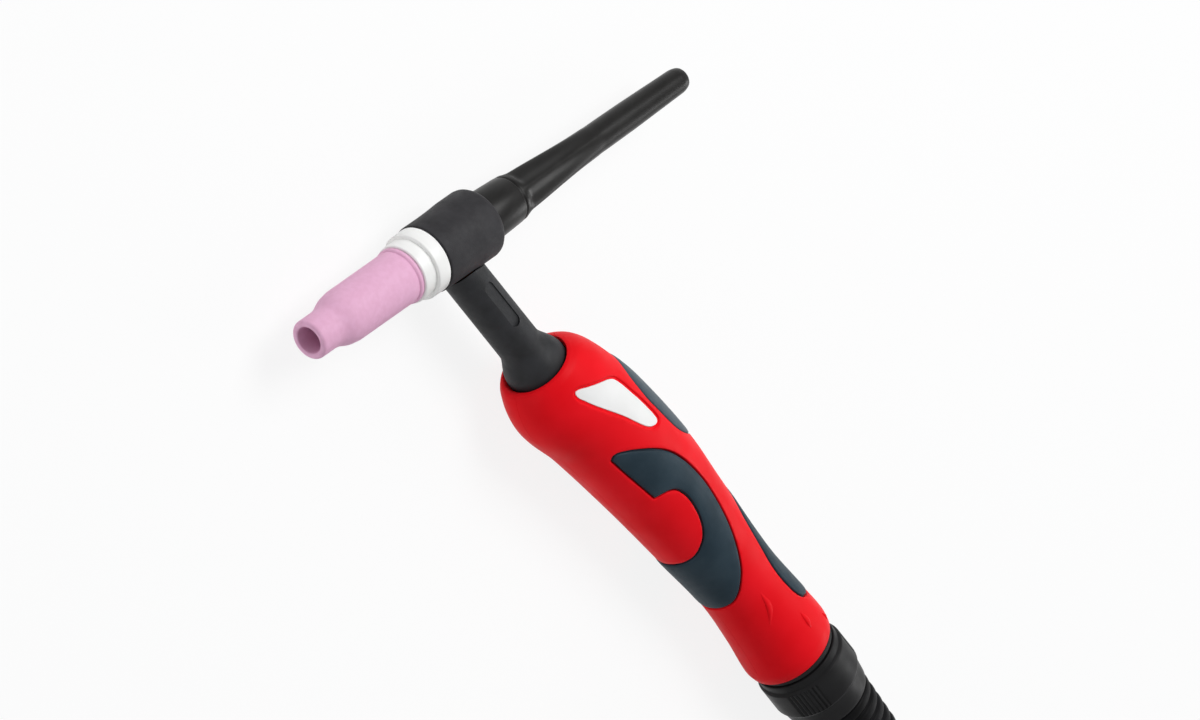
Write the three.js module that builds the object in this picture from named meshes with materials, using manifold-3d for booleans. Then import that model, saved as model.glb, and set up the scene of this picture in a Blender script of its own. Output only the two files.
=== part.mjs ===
// A gas-cooled TIG welding torch with its cable. Millimetres.
// X runs along the handle from the head to the cable, the gas cup points to -Y, and Z is up:
// the torch lies on its side. It is drawn from the point where the head and neck axes cross.
import * as THREE from 'three';
import { mergeVertices } from 'three/addons/utils/BufferGeometryUtils.js';
import Module from 'manifold-3d';

const wasm = await Module();
wasm.setup();

// Fits
const GAP = 0.3; // between pieces that touch or run on each other
const ROUND = 16; // sides of a turned piece
const WIDE_ROUND = 24; // sides of the handle and the head cover

// Head, measured along the cup's axis
const HEAD_ANGLE = 115; // degrees between the cup and the handle
const HEAD_FORWARD = 9.1; // from the neck's axis to the front of the head cover
const HEAD_BACK = 18.8; // from the neck's axis to the back of the head cover
const HEAD_R = 12.15;
const HEAD_BUMP = 0.3; // how much fuller the back of the head cover is
const HEAD_EDGE = 2.4; // rounding of the head cover's back edge
const HEAD_BODY_R = 8.6;
const HEAD_BODY_SHORT = 1.3; // how far the body stays inside the cover's back end
const HEAD_BODY_INSET = 0.6; // how far it stays inside the front end

const GASKET_LENGTH = 10.9;
const GASKET_FLANGE_R = 11.8;
const GASKET_FLANGE = 5.6;
const GASKET_NOSE_R = 10.5;

const CUP_LENGTH = 47;
const CUP_TIP_R = 6.95;
const CUP_TIP_LENGTH = 8;
const CUP_SHOULDER = 10; // length of the shoulder between the tip and the body
const CUP_BODY_R = 9.4;
const CUP_BASE_R = 9.95;
const CUP_BASE_LENGTH = 4.5; // the flare at the base
const CUP_BORE_R = 4.75;
const CUP_EDGE = 0.5;

const THREAD_R = 6.5; // collet body's thread for the cup
const THREAD_LENGTH = 13;
const SHANK_R = 5.3; // collet body inside the gasket and the head
const SHANK_DEPTH = 14; // how deep it enters the head body
const DIFFUSER_R = 4.6;
const DIFFUSER_LENGTH = 18;
const GAS_HOLE_R = 0.9;
const COLLET_R = 2.4;
const COLLET_NOSE = 4; // length of the collet's cone
const ELECTRODE_R = 1.2;
const ELECTRODE_LENGTH = 150;
const ELECTRODE_POINT = 5;
const ELECTRODE_RECESS = 7; // how far the tip stays inside the cup

const CAP_LENGTH = 105; // long back cap, outside the head
const CAP_BASE_R = 9.1;
const CAP_BAND = 15; // plain band at its base
const CAP_BAND_END_R = 8.3;
const CAP_GROOVE = 0.8;
const CAP_TAPER = 40; // length of the fluted taper
const CAP_TUBE_R = 5.3;
const CAP_END_R = 4.35;
const CAP_NOSE_R = 6.2; // its thread in the head body
const CAP_NOSE_LENGTH = 11;
const CAP_BORE_R = 2;
const SEAL_R = 0.75; // section of the cap's O-ring

// Neck, measured from the head's axis
const NECK_LENGTH = 61; // to the front of the handle
const NECK_R = 7.5;
const FLARE_R = 11.5;
const FLARE_LENGTH = 11;
const FLARE_DEPTH = 9; // how far the flare's flange goes into the handle
const NECK_TAIL_R = 8;
const NECK_TAIL = 14; // plain end behind the flange
const TUBE_R = 4;
const TUBE_BORE_R = 2.6;
const TUBE_TAIL = 11; // bare tube behind the neck cover
const CONNECTOR_R = 7;
const CONNECTOR_LENGTH = 18;

// Handle, measured from its front face; its back end is parallel to the neck
const GRIP_AT = 39.6;
const GRIP_LENGTH = 83.1;
const HANDLE_TAIL = 38.3; // from the side grips' back end to the handle's back face
const HANDLE_LENGTH = GRIP_AT + GRIP_LENGTH + HANDLE_TAIL;
const HANDLE_STEPS = 22;
const REAR_OFFSET = 8.4; // from the neck's axis to the handle's axis at its back end, along Y
const WALL = 3.2;
const FRONT_BLOCK = 26; // solid length that holds the neck
const REAR_BLOCK = 34; // solid length that holds the cable swivel
const fromRear = (distance) => HANDLE_LENGTH - distance;
// Distance below the neck's axis, above it, and half the width, along the handle
const BELLY = [
  [0, 14.4], [3, 16.2], [8, 18.1], [15, 19.25], [22, 18.5], [34, 15.2], [64, 11.4],
  [fromRear(63), 7.6], [fromRear(37), 5.9], [fromRear(17), 7.4], [fromRear(4), 8.3],
  [HANDLE_LENGTH, 7.5],
];
const BACK = [
  [0, 12.4], [2, 14.6], [5, 17.4], [10, 20.3], [20, 23.1], [34, 24.9], [67, 26.9],
  [fromRear(73), 25.4], [fromRear(37), 23.3], [fromRear(18), 24.2], [fromRear(5), 24.9],
  [HANDLE_LENGTH, 24.1],
];
const FLANK = [
  [0, 12.4], [3, 14.3], [14, 16.7], [28, 17.4], [55, 17], [90, 15.1],
  [fromRear(40), 13.8], [fromRear(21), 14.6], [fromRear(5), 15.8], [HANDLE_LENGTH, 15.2],
];

// Soft inserts and the label place
const GROOVE = 0.45; // open line round an insert
const GRIP_THICK = 1.8;
const UNDER = -14; // an outline that runs round the belly ends below it
const OVER = 30; // and one that runs over the back ends above it
// Side view of the hook-shaped grip: from its tip over its arch to the tail, and back
const GRIP_ARCH = [
  [0, -7], [2.2, -3.3], [7, 2.6], [14.1, 7.9], [22.5, 11.7], [33.2, 13.2], [47, 12.4],
  [60.9, 9.6], [70.4, 5.2], [GRIP_LENGTH - 4.7, 0.2], [GRIP_LENGTH, -5],
];
const GRIP_UNDER = [
  [58.1, -6.6], [56.6, -3.1], [54, 0.1], [50.1, 2.7], [44.9, 4.2], [36.1, 4.6], [28.9, 3.4], [26.2, 0],
];
const GRIP_HEEL = [[25.1, -4.4], [17.5, -6], [8, -7.4], [2, -8.3]];
const PAD_FROM_REAR = 65;
const PAD_ARC = [
  [-1, 26.5], [1.5, 22.8], [11, 19.9], [19.8, 17.4], [26.9, 15.4], [33.5, 14], [39.7, 13.9],
  [45.4, 15.6], [50, 20.4], [52, 26.5],
];
const LABEL_AT = 8.8;
const LABEL_THICK = 0.7;
const LABEL_DEPTH = 0.4; // how far the label lies below the handle's surface
const LABEL_BORDER = 1.3;
const LABEL = [
  [0, -3.6], [8.4, 9.6], [9.8, 11.3], [12, 12], [34.8, 13], [36.6, 12.3], [36.8, 10.8], [35.4, 9.2],
  [2.4, -4.1], [0.6, -4.7],
];

// Trigger, its switch and pin
const TRIGGER_AT = 19.5;
const TRIGGER_LENGTH = 51.5;
const TRIGGER_HALF = 13.6;
const TRIGGER_THICK = 3;
const TRIGGER_CLEAR = 0.5;
const PIN_FROM_TRIGGER_END = 4;
const PIN_BELOW_BACK = 6.6;
const PIN_R = 1;
const HUB_R = 4;
const HUB_HALF = 7.4;
const NUB_R = 1.8; // the trigger's rod over the switch
const PIN_SEAT = 2; // how far each end of the pin enters its shell
const HOLDER_TOP = 10.2;
const HOLDER_THICK = 2;
const HOLDER_LENGTH = 30;
const SWITCH_FROM_TRIGGER = 20.5; // from the trigger's front to the switch's plunger
const SWITCH_LENGTH = 12.8;
const SWITCH_HEIGHT = 6.5;
const SWITCH_WIDTH = 5.8;
const PLUNGER_R = 1;
const PLUNGER_OUT = 1.7;
const PLUNGER_LENGTH = 4.2;
const WIRE_R = 1.4;
const HOSE_R = 5;

// Screws: distance from the handle's front and height above the neck's axis
const SCREWS = [[17, -13.4], [80, 18.6], [fromRear(28), -2.6]];
const SCREW_R = 1.2;
const SCREW_HEAD_R = 2.6;
const SCREW_HEAD = 2;
const SCREW_SUNK = 1.2; // below the shell's surface
const SCREW_LENGTH = 15;
const POST_R = 3.2;

// Swivel, collar and boot, measured from the handle's back face
const SLEEVE_R = 11.5;
const SLEEVE_BORE_R = 8.6;
const SLEEVE_DEPTH = 21;
const SLEEVE_OUT = 4;
const FLANGE_R = 13;
const FLANGE_FROM = 18; // flange's front face, inside the handle
const FLANGE_THICK = 3;
const SEAL_RING_R = 14.6;
const SEAL_RING = 1.9;
const COLLAR_R = 15.95;
const COLLAR_RIM = 11.5;
const COLLAR_NECK_R = 14.6;
const COLLAR_END_R = 14;
const COLLAR_LENGTH = 23.5;
const BOOT_LENGTH = 74;
const BOOT_R = 13.7;
const BOOT_END_R = 10;
const BOOT_RINGS = 12;
const BOOT_RING_DEPTH = 0.9;
const BOOT_SOCKET = 6;

// Cable, measured from the torch's lowest side, which lies on the bench
const CABLE_R = 8;
const CABLE_SIDES = 10;
const CABLE_REST = 0.1; // the cable's clearance over the bench
const BENCH = -Math.max(...FLANK.map(([, half]) => half));
const CABLE_Z = BENCH + CABLE_R + CABLE_REST;
const COIL_OUT_R = 107; // centre line of the outermost turn
const COIL_IN_R = 58; // and of the innermost
const COIL_X = 490;
const COIL_Y = REAR_OFFSET - 10;
const COIL_LAYERS = 2;
const TAIL_Y = COIL_Y - 95.7;
const UPPER_Z = CABLE_Z + 2 * CABLE_R; // the tail leaves the coil's upper layer
const SPLITTER_WALL = 2.4;
const SPLITTER_Z = CABLE_Z + GAP + SPLITTER_WALL;
const PLUG_R = 15;
const PLUG_Z = BENCH + PLUG_R + CABLE_REST;
// The cable bends aside from the boot, and then the other way into the coil's outermost turn
const CABLE_ROUTE = [
  [316.3, REAR_OFFSET, 0], [322.3, REAR_OFFSET, 0], [335.8, REAR_OFFSET, -0.6],
  [353.4, COIL_Y + 12.5, -2.8], [369.7, COIL_Y + 19.7, -5.7], [383.4, COIL_Y + 31.2, -8.2],
  [393.5, COIL_Y + 46.3, CABLE_Z], [402, COIL_Y + 55, CABLE_Z],
];
const TAIL_ROUTE = [
  [462, COIL_Y - 98, UPPER_Z], [453.4, COIL_Y - 99.8, UPPER_Z], [439.9, COIL_Y - 96.9, 6.5],
  [426, TAIL_Y, 6],
  [410, TAIL_Y, 3.4], [394, TAIL_Y, -0.6], [378, TAIL_Y, -4.2], [364, TAIL_Y, -6.2],
  [354, TAIL_Y, SPLITTER_Z], [339, TAIL_Y, SPLITTER_Z],
  [324, TAIL_Y, SPLITTER_Z], [312, TAIL_Y, -7.2], [298, TAIL_Y, -7.7], [284, TAIL_Y, -7.1],
  [273, TAIL_Y, -5.2], [263, TAIL_Y, -3], [256, TAIL_Y, PLUG_Z], [250, TAIL_Y, PLUG_Z],
  [244.3, TAIL_Y, PLUG_Z],
];

// Cable end: splitter, power plug, control lead and control plug
const SPLITTER_AT = 324; // its face on the plug side
const SPLITTER_LENGTH = 30;
const SPLITTER_SIDE = 20; // from the cable's axis to the far side that lets the control lead out
const PLUG_AT = 250; // the end of the rubber sleeve, towards the coil
const PLUG_LENGTH = 78;
const PLUG_SLEEVE_R = 10.5;
const PLUG_FACE_R = 13.4;
const PLUG_PIN_R = 6.4;
const PLUG_PIN_LENGTH = 26;
const PLUG_SHANK = 20; // how far the pin's root sits in the body
const LEAD_R = 3;
const LEAD_Y = TAIL_Y + 14.6;
const LEAD_Z = BENCH + 10;
const LEAD_ROUTE = [
  [SPLITTER_AT - GAP, LEAD_Y, LEAD_Z], [316, LEAD_Y + 0.3, LEAD_Z - 0.3],
  [302, LEAD_Y + 2, LEAD_Z - 3.4], [288, LEAD_Y + 5.4, BENCH + 3.6], [272, LEAD_Y + 10, BENCH + 3.1],
  [256, LEAD_Y + 14, BENCH + 3.5], [242, LEAD_Y + 16, BENCH + 6.6],
  [230, LEAD_Y + 16.4, BENCH + 9.4], [220.3, LEAD_Y + 16.4, BENCH + 9.7],
];
const CONTROL_AT = 222;
const CONTROL_Y = LEAD_Y + 16.4;
const CONTROL_R = 8;
const CONTROL_LENGTH = 34;
const CONTROL_RING_R = 9.4;
const CONTROL_RING = 14; // from the face to the ring's back end
const CONTROL_NOSE = 3; // from the face to the ring's front end
const CONTROL_THREAD_R = 7.2;
const CONTROL_FACE_R = 6.6;
const CONTROL_SOCKET = 2; // how far the lead enters the plug

const DEG = Math.PI / 180;

// ---- Solids -------------------------------------------------------------------------------

// A closed geometry as a solid that can be cut and joined
function solid(geometry) {
  const bare = geometry.clone();
  bare.deleteAttribute('normal');
  bare.deleteAttribute('uv');
  const merged = mergeVertices(bare, 1e-4);
  const corners = Array.from(merged.index.array);
  const triVerts = [];
  for (let i = 0; i < corners.length; i += 3) {
    const [a, b, c] = corners.slice(i, i + 3);
    if (a !== b && b !== c && c !== a) triVerts.push(a, b, c);
  }
  return new wasm.Manifold(new wasm.Mesh({
    numProp: 3,
    vertProperties: new Float32Array(merged.attributes.position.array),
    triVerts: new Uint32Array(triVerts),
  }));
}

function geometryOf(manifold) {
  const mesh = manifold.getMesh();
  const geometry = new THREE.BufferGeometry();
  geometry.setAttribute('position', new THREE.BufferAttribute(mesh.vertProperties, 3));
  geometry.setIndex(new THREE.BufferAttribute(mesh.triVerts, 1));
  geometry.computeVertexNormals();
  return geometry;
}

// [radius, distance] pairs turned round the Y axis; a hollow piece's outline closes on itself
function turned(outline, sides = ROUND) {
  return new THREE.LatheGeometry(outline.map(([radius, y]) => new THREE.Vector2(radius, y)), sides);
}

// The same, along X, on the handle's back axis or the neck's
function turnedAlongX(outline, y = 0, sides = ROUND) {
  return turned(outline, sides).rotateZ(-Math.PI / 2).translate(0, y, 0);
}

const rod = (radius, from, to) => [[0, from], [radius, from], [radius, to], [0, to]];
const tube = (bore, radius, from, to) =>
  [[bore, from], [radius, from], [radius, to], [bore, to], [bore, from]];

function rodAlongZ(radius, x, y, from, to, sides = 16) {
  const geometry = new THREE.CylinderGeometry(radius, radius, to - from, sides);
  return geometry.rotateX(Math.PI / 2).translate(x, y, (from + to) / 2);
}

function rodAlongY(radius, x, z, from, to, sides = 12) {
  return new THREE.CylinderGeometry(radius, radius, to - from, sides).translate(x, (from + to) / 2, z);
}

function box(x, y, z) {
  const size = [x, y, z].map(([from, to]) => to - from);
  const centre = [x, y, z].map(([from, to]) => (from + to) / 2);
  return new THREE.BoxGeometry(...size).translate(...centre);
}

function swept(points, radius, sides, steps) {
  const section = new THREE.Shape();
  for (let i = 0; i < sides; i += 1) {
    const turn = 2 * Math.PI * i / sides;
    const corner = [radius * Math.cos(turn), radius * Math.sin(turn)];
    if (i) section.lineTo(...corner);
    else section.moveTo(...corner);
  }
  const path = new THREE.CatmullRomCurve3(points.map((point) => new THREE.Vector3(...point)));
  return new THREE.ExtrudeGeometry(section, { steps, extrudePath: path, bevelEnabled: false });
}

// A smooth value through [place, value] pairs
function along(points, place) {
  const last = points.length - 1;
  let i = 0;
  while (i < last - 1 && points[i + 1][0] < place) i += 1;
  const slope = (k) => {
    const [before, after] = [points[Math.max(k - 1, 0)], points[Math.min(k + 1, last)]];
    return (after[1] - before[1]) / (after[0] - before[0]);
  };
  const span = points[i + 1][0] - points[i][0];
  const t = THREE.MathUtils.clamp((place - points[i][0]) / span, 0, 1);
  return (2 * t ** 3 - 3 * t ** 2 + 1) * points[i][1] + (t ** 3 - 2 * t ** 2 + t) * span * slope(i)
    + (3 * t ** 2 - 2 * t ** 3) * points[i + 1][1] + (t ** 3 - t ** 2) * span * slope(i + 1);
}

// A smooth line through points, with a few steps between each two
function smooth(points, steps = 2) {
  const curve = new THREE.SplineCurve(points.map(([x, y]) => new THREE.Vector2(x, y)));
  return curve.getPoints(steps * (points.length - 1)).map((point) => [point.x, point.y]);
}

// An outline moved outwards; its points run anticlockwise or clockwise
function grown(outline, amount) {
  const area = outline.reduce((sum, [x, y], i) => {
    const [nextX, nextY] = outline[(i + 1) % outline.length];
    return sum + x * nextY - nextX * y;
  }, 0);
  return outline.map(([x, y], i) => {
    const [beforeX, beforeY] = outline[(i + outline.length - 1) % outline.length];
    const [afterX, afterY] = outline[(i + 1) % outline.length];
    const normals = [[x - beforeX, y - beforeY], [afterX - x, afterY - y]].map(([dx, dy]) => {
      const length = Math.hypot(dx, dy);
      return [Math.sign(area) * dy / length, -Math.sign(area) * dx / length];
    });
    const [nx, ny] = [normals[0][0] + normals[1][0], normals[0][1] + normals[1][1]];
    const reach = 2 * amount / Math.max(nx * nx + ny * ny, 1);
    return [x + nx * reach, y + ny * reach];
  });
}

function extruded(outline, depth) {
  const shape = new THREE.Shape(outline.map(([x, y]) => new THREE.Vector2(x, y)));
  return new THREE.ExtrudeGeometry(shape, { depth, bevelEnabled: false });
}

// ---- The handle's surface -------------------------------------------------------------------

const belly = (place) => -along(BELLY, place);
const back = (place) => along(BACK, place);
const flank = (place) => along(FLANK, place);

// Half the handle's width at a place and height
function flankAt(place, y) {
  const middle = (back(place) + belly(place)) / 2;
  const half = (back(place) - belly(place)) / 2;
  return flank(place) * Math.sqrt(1 - ((y - middle) / half) ** 2);
}

// The handle's solid, made smaller by inset, from one place to another
function handleSolid(inset, from = 0, to = HANDLE_LENGTH) {
  const places = [];
  for (let i = 0; i <= HANDLE_STEPS; i += 1) {
    places.push(HANDLE_LENGTH * (1 - Math.cos(Math.PI * i / HANDLE_STEPS)) / 2);
  }
  const inside = places.filter((place) => place > from + 0.01 && place < to - 0.01);
  const outline = [[0, from], ...[from, ...inside, to].map((place) => [1, place]), [0, to]];
  const geometry = turned(outline, WIDE_ROUND);
  const position = geometry.attributes.position;
  for (let i = 0; i < position.count; i += 1) {
    const place = position.getY(i);
    const middle = (back(place) + belly(place)) / 2;
    const half = (back(place) - belly(place)) / 2 - inset;
    const width = flank(place) - inset;
    const y = middle + half * position.getX(i);
    position.setXYZ(i, NECK_LENGTH + place, y, -width * position.getZ(i));
  }
  return solid(geometry);
}

const handleOuter = handleSolid(0);
const handleAround = handleSolid(-1);
const skin = (outline, thick, sunk = 0) =>
  handleSolid(sunk).subtract(handleSolid(sunk + thick)).intersect(outline);
const pocket = (outline, depth) => handleAround.subtract(handleSolid(depth)).intersect(outline);

// An outline in side view as a block that passes through the handle's left side, its right or both
const BLOCK = 30; // half the depth of such a block
function sideBlock(outline, side) {
  const block = extruded(outline.map(([x, y]) => [NECK_LENGTH + x, y]), side ? BLOCK : 2 * BLOCK);
  return solid(block.translate(0, 0, side > 0 ? 0 : -BLOCK));
}

// An outline in top view as a block that passes through the handle's back
function backBlock(outline, low) {
  const block = extruded(outline.map(([x, z]) => [NECK_LENGTH + x, -z]), 2 * OVER);
  return solid(block.rotateX(-Math.PI / 2).translate(0, low, 0));
}

const at = (outline, place) => outline.map(([x, y]) => [x + place, y]);
const gripOutline = at([
  ...smooth(GRIP_ARCH), [GRIP_LENGTH + 0.3, UNDER], [58.1, UNDER], ...smooth(GRIP_UNDER), ...GRIP_HEEL,
], GRIP_AT);
const padOutline = at(
  [[PAD_ARC[0][0], OVER], ...PAD_ARC, [PAD_ARC.at(-1)[0], OVER]], fromRear(PAD_FROM_REAR),
);
const labelOutline = at(LABEL, LABEL_AT);

// The trigger's outline in top view is a long drop, broadest past its middle
const TRIGGER_TURNS = 22;
function triggerOutline() {
  const outline = [];
  for (let i = 0; i < TRIGGER_TURNS; i += 1) {
    const turn = 2 * Math.PI * i / TRIGGER_TURNS;
    const place = (1 - Math.cos(turn)) / 2;
    const round = Math.sign(Math.sin(turn)) * Math.abs(Math.sin(turn)) ** 0.75;
    outline.push([TRIGGER_AT + TRIGGER_LENGTH * place, TRIGGER_HALF * round * (0.92 + 0.1 * place)]);
  }
  return outline;
}

// ---- Finishes -------------------------------------------------------------------------------

const finish = (color, roughness, metalness = 0) =>
  new THREE.MeshStandardMaterial({ color, roughness, metalness });
const ceramic = finish(0xf0b8dc, 0.65);
const insulator = finish(0xf6f6f4, 0.45);
const softBlack = finish(0x2c2d30, 0.7);
const glossBlack = finish(0x1c1c1b, 0.25);
const redShell = finish(0xd81a24, 0.4);
const grey = finish(0x2e3b45, 0.6);
const white = finish(0xffffff, 0.35);
const brass = finish(0xc79a45, 0.3, 1);
const copper = finish(0xb87048, 0.35, 1);
const tungsten = finish(0x9b9da0, 0.35, 1);
const steel = finish(0xa8abb0, 0.3, 1);
const hoseBlack = finish(0x252628, 0.75);

const torch = new THREE.Group();
const head = new THREE.Group();
head.rotation.z = -(HEAD_ANGLE - 90) * DEG;
torch.add(head);

function add(group, name, shape, material) {
  const geometry = shape.isBufferGeometry ? shape : geometryOf(shape);
  const mesh = new THREE.Mesh(geometry, material);
  mesh.name = name;
  group.add(mesh);
}

// ---- Head -----------------------------------------------------------------------------------

const coverFront = -HEAD_FORWARD;
const gasketBack = coverFront - GAP;
const gasketFront = gasketBack - GASKET_LENGTH;
const cupBase = gasketFront - GAP;
const cupTip = cupBase - CUP_LENGTH;
const bodyFront = coverFront + HEAD_BODY_INSET;
const bodyBack = HEAD_BACK - HEAD_BODY_SHORT;
const headBore = HEAD_BODY_R + GAP;
const capNoseEnd = bodyBack - CAP_NOSE_LENGTH;
const shankBore = SHANK_R + GAP;

function gasCup() {
  const shoulderStart = cupTip + CUP_TIP_LENGTH;
  const shoulderEnd = shoulderStart + CUP_SHOULDER;
  const shoulder = CUP_BODY_R - CUP_TIP_R;
  const socket = THREAD_R + GAP;
  return turned([
    [CUP_BORE_R, cupTip], [CUP_TIP_R - CUP_EDGE, cupTip], [CUP_TIP_R, cupTip + CUP_EDGE],
    [CUP_TIP_R, shoulderStart], [CUP_TIP_R + 0.2 * shoulder, shoulderStart + 0.22 * CUP_SHOULDER],
    [CUP_TIP_R + 0.75 * shoulder, shoulderStart + 0.62 * CUP_SHOULDER], [CUP_BODY_R, shoulderEnd],
    [CUP_BODY_R, cupBase - CUP_BASE_LENGTH], [CUP_BASE_R, cupBase - 0.3 * CUP_BASE_LENGTH],
    [CUP_BASE_R, cupBase], [socket, cupBase], [socket, shoulderEnd], [CUP_BORE_R, shoulderStart],
    [CUP_BORE_R, cupTip],
  ], WIDE_ROUND);
}

function cupGasket() {
  const flange = gasketBack - GASKET_FLANGE;
  return turned([
    [shankBore, gasketFront], [GASKET_NOSE_R, gasketFront], [GASKET_NOSE_R, flange],
    [GASKET_FLANGE_R, flange], [GASKET_FLANGE_R, gasketBack], [shankBore, gasketBack],
    [shankBore, gasketFront],
  ], WIDE_ROUND);
}

const threadFront = gasketFront - GAP - THREAD_LENGTH;
const diffuserFront = threadFront - DIFFUSER_LENGTH;
const colletBore = COLLET_R + GAP;
const electrodeBore = ELECTRODE_R + GAP;

function colletBody() {
  const shankBack = bodyFront + SHANK_DEPTH;
  const tipR = colletBore + 0.8;
  const body = solid(turned([
    [electrodeBore, diffuserFront], [tipR, diffuserFront], [DIFFUSER_R, diffuserFront + COLLET_NOSE],
    [DIFFUSER_R, threadFront], [THREAD_R, threadFront], [THREAD_R, gasketFront - GAP],
    [SHANK_R, gasketFront - GAP], [SHANK_R, shankBack], [colletBore, shankBack],
    [colletBore, diffuserFront + COLLET_NOSE], [electrodeBore, diffuserFront],
  ]));
  const holeAt = threadFront - 0.3 * DIFFUSER_LENGTH;
  const drill = new THREE.CylinderGeometry(GAS_HOLE_R, GAS_HOLE_R, 4 * DIFFUSER_R, 8);
  const drillZ = solid(drill.clone().rotateX(Math.PI / 2).translate(0, holeAt, 0));
  const drillX = solid(drill.clone().rotateZ(Math.PI / 2).translate(0, holeAt, 0));
  return body.subtract(drillZ).subtract(drillX);
}

function collet() {
  const front = diffuserFront + COLLET_NOSE / 2;
  const rear = capNoseEnd - GAP; // the cap's nose presses on it
  const nose = electrodeBore + (colletBore - electrodeBore) * 0.3;
  return turned([
    [electrodeBore, front], [nose, front], [COLLET_R, front + COLLET_NOSE], [COLLET_R, rear],
    [electrodeBore, rear], [electrodeBore, front],
  ], 16);
}

function electrode() {
  const tip = cupTip + ELECTRODE_RECESS;
  return turned([
    [0, tip], [ELECTRODE_R, tip + ELECTRODE_POINT], [ELECTRODE_R, tip + ELECTRODE_LENGTH],
    [0, tip + ELECTRODE_LENGTH],
  ], 12);
}

// The body's back end is counterbored for the cap's thread and O-ring
const capThreadBore = CAP_NOSE_R + GAP;
const sealSeat = capThreadBore + 2 * SEAL_R + GAP;
const sealFloor = bodyBack - 2 * SEAL_R - 0.5;

function headBody() {
  const shankRoom = bodyFront + SHANK_DEPTH + GAP;
  return turned([
    [shankBore, bodyFront], [HEAD_BODY_R, bodyFront], [HEAD_BODY_R, bodyBack], [sealSeat, bodyBack],
    [sealSeat, sealFloor], [capThreadBore, sealFloor], [capThreadBore, capNoseEnd - GAP],
    [shankBore, shankRoom], [shankBore, bodyFront],
  ]);
}

// A rod along the neck's axis, in the head's own frame
function neckRodInHead(radius) {
  const geometry = turnedAlongX(rod(radius, 0, 3 * HEAD_R));
  return solid(geometry.rotateZ((HEAD_ANGLE - 90) * DEG));
}

function headCover() {
  const bumpR = HEAD_R + HEAD_BUMP;
  const bumpAt = HEAD_BACK - 10;
  const round = (turn) => [
    bumpR - HEAD_EDGE * (1 - Math.cos(turn * DEG)), HEAD_BACK - HEAD_EDGE * (1 - Math.sin(turn * DEG)),
  ];
  const cover = solid(turned([
    [headBore, coverFront], [HEAD_R, coverFront], [HEAD_R, bumpAt - 2], [bumpR, bumpAt],
    round(0), round(30), round(60), round(90), [headBore, HEAD_BACK], [headBore, coverFront],
  ], WIDE_ROUND));
  return cover.subtract(neckRodInHead(TUBE_R + GAP));
}

const capBase = HEAD_BACK + GAP;
const capEnd = capBase + CAP_LENGTH;

function backCap() {
  const bandEnd = capBase + CAP_BAND;
  const taperEnd = bandEnd + CAP_TAPER;
  const grooveR = CAP_BAND_END_R - CAP_GROOVE;
  const seatR = HEAD_BODY_R;
  const noseBack = bodyBack + GAP;
  return turned([
    [CAP_BORE_R, capNoseEnd], [CAP_NOSE_R, capNoseEnd], [CAP_NOSE_R, noseBack], [seatR, noseBack],
    [seatR, capBase], [CAP_BASE_R, capBase], [CAP_BAND_END_R, bandEnd - CAP_GROOVE],
    [grooveR, bandEnd], [CAP_BAND_END_R - 0.2, bandEnd + CAP_GROOVE],
    [CAP_TUBE_R + 1.3, bandEnd + 0.5 * CAP_TAPER], [CAP_TUBE_R, taperEnd],
    [CAP_END_R, capEnd - CAP_END_R / 2], [CAP_END_R * 0.8, capEnd - 0.6], [CAP_END_R * 0.45, capEnd],
    [0, capEnd], [0, capEnd - 4], [CAP_BORE_R, capEnd - 4 - CAP_BORE_R], [CAP_BORE_R, capNoseEnd],
  ]);
}

function capSeal() {
  const ring = new THREE.TorusGeometry(capThreadBore + SEAL_R, SEAL_R, 6, ROUND);
  return ring.rotateX(Math.PI / 2).translate(0, sealFloor + SEAL_R + 0.25, 0);
}

add(head, 'gas_cup', gasCup(), ceramic);
add(head, 'cup_gasket', cupGasket(), insulator);
add(head, 'collet_body', colletBody(), brass);
add(head, 'collet', collet(), copper);
add(head, 'tungsten_electrode', electrode(), tungsten);
add(head, 'head_body', headBody(), brass);
add(head, 'head_cover', headCover(), softBlack);
add(head, 'back_cap', backCap(), glossBlack);
add(head, 'back_cap_seal', capSeal(), hoseBlack);

// ---- Neck -----------------------------------------------------------------------------------

// A rod along the head's axis, in the torch's frame
function headRod(radius) {
  const geometry = turned(rod(radius, -3 * HEAD_R, 3 * HEAD_R), WIDE_ROUND);
  return solid(geometry.rotateZ(-(HEAD_ANGLE - 90) * DEG));
}

const flangeBack = NECK_LENGTH + FLARE_DEPTH;
const coverBack = flangeBack + NECK_TAIL;
const tubeBack = coverBack + TUBE_TAIL;

function neckCover() {
  const bore = TUBE_R + GAP;
  const flare = FLARE_R - NECK_R;
  const start = NECK_LENGTH - FLARE_LENGTH;
  const bell = [0, 0.2, 0.4, 0.6, 0.8, 1].map((t) =>
    [NECK_R + flare * (3 * t ** 2 - 2 * t ** 3), start + FLARE_LENGTH * t]);
  const sleeve = solid(turnedAlongX([
    [bore, 0], [NECK_R, 0], ...bell, [FLARE_R, flangeBack], [NECK_TAIL_R, flangeBack],
    [NECK_TAIL_R, coverBack], [bore, coverBack], [bore, 0],
  ]));
  return sleeve.subtract(headRod(HEAD_R + HEAD_BUMP + GAP));
}

function neckTube() {
  return solid(turnedAlongX(tube(TUBE_BORE_R, TUBE_R, 0, tubeBack))).subtract(headRod(headBore));
}

const connectorFront = coverBack + GAP;
const connectorBack = connectorFront + CONNECTOR_LENGTH;

function cableConnector() {
  const hexagon = solid(turnedAlongX(rod(CONNECTOR_R, connectorFront, connectorBack), 0, 6));
  const socket = solid(turnedAlongX(rod(TUBE_R + GAP, connectorFront - 1, tubeBack + GAP)));
  const passage = solid(turnedAlongX(rod(TUBE_BORE_R, connectorFront - 1, connectorBack + 1)));
  return hexagon.subtract(socket).subtract(passage);
}

add(torch, 'neck_cover', neckCover(), softBlack);
add(torch, 'neck_tube', neckTube(), copper);
add(torch, 'cable_connector', cableConnector(), brass);

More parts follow.
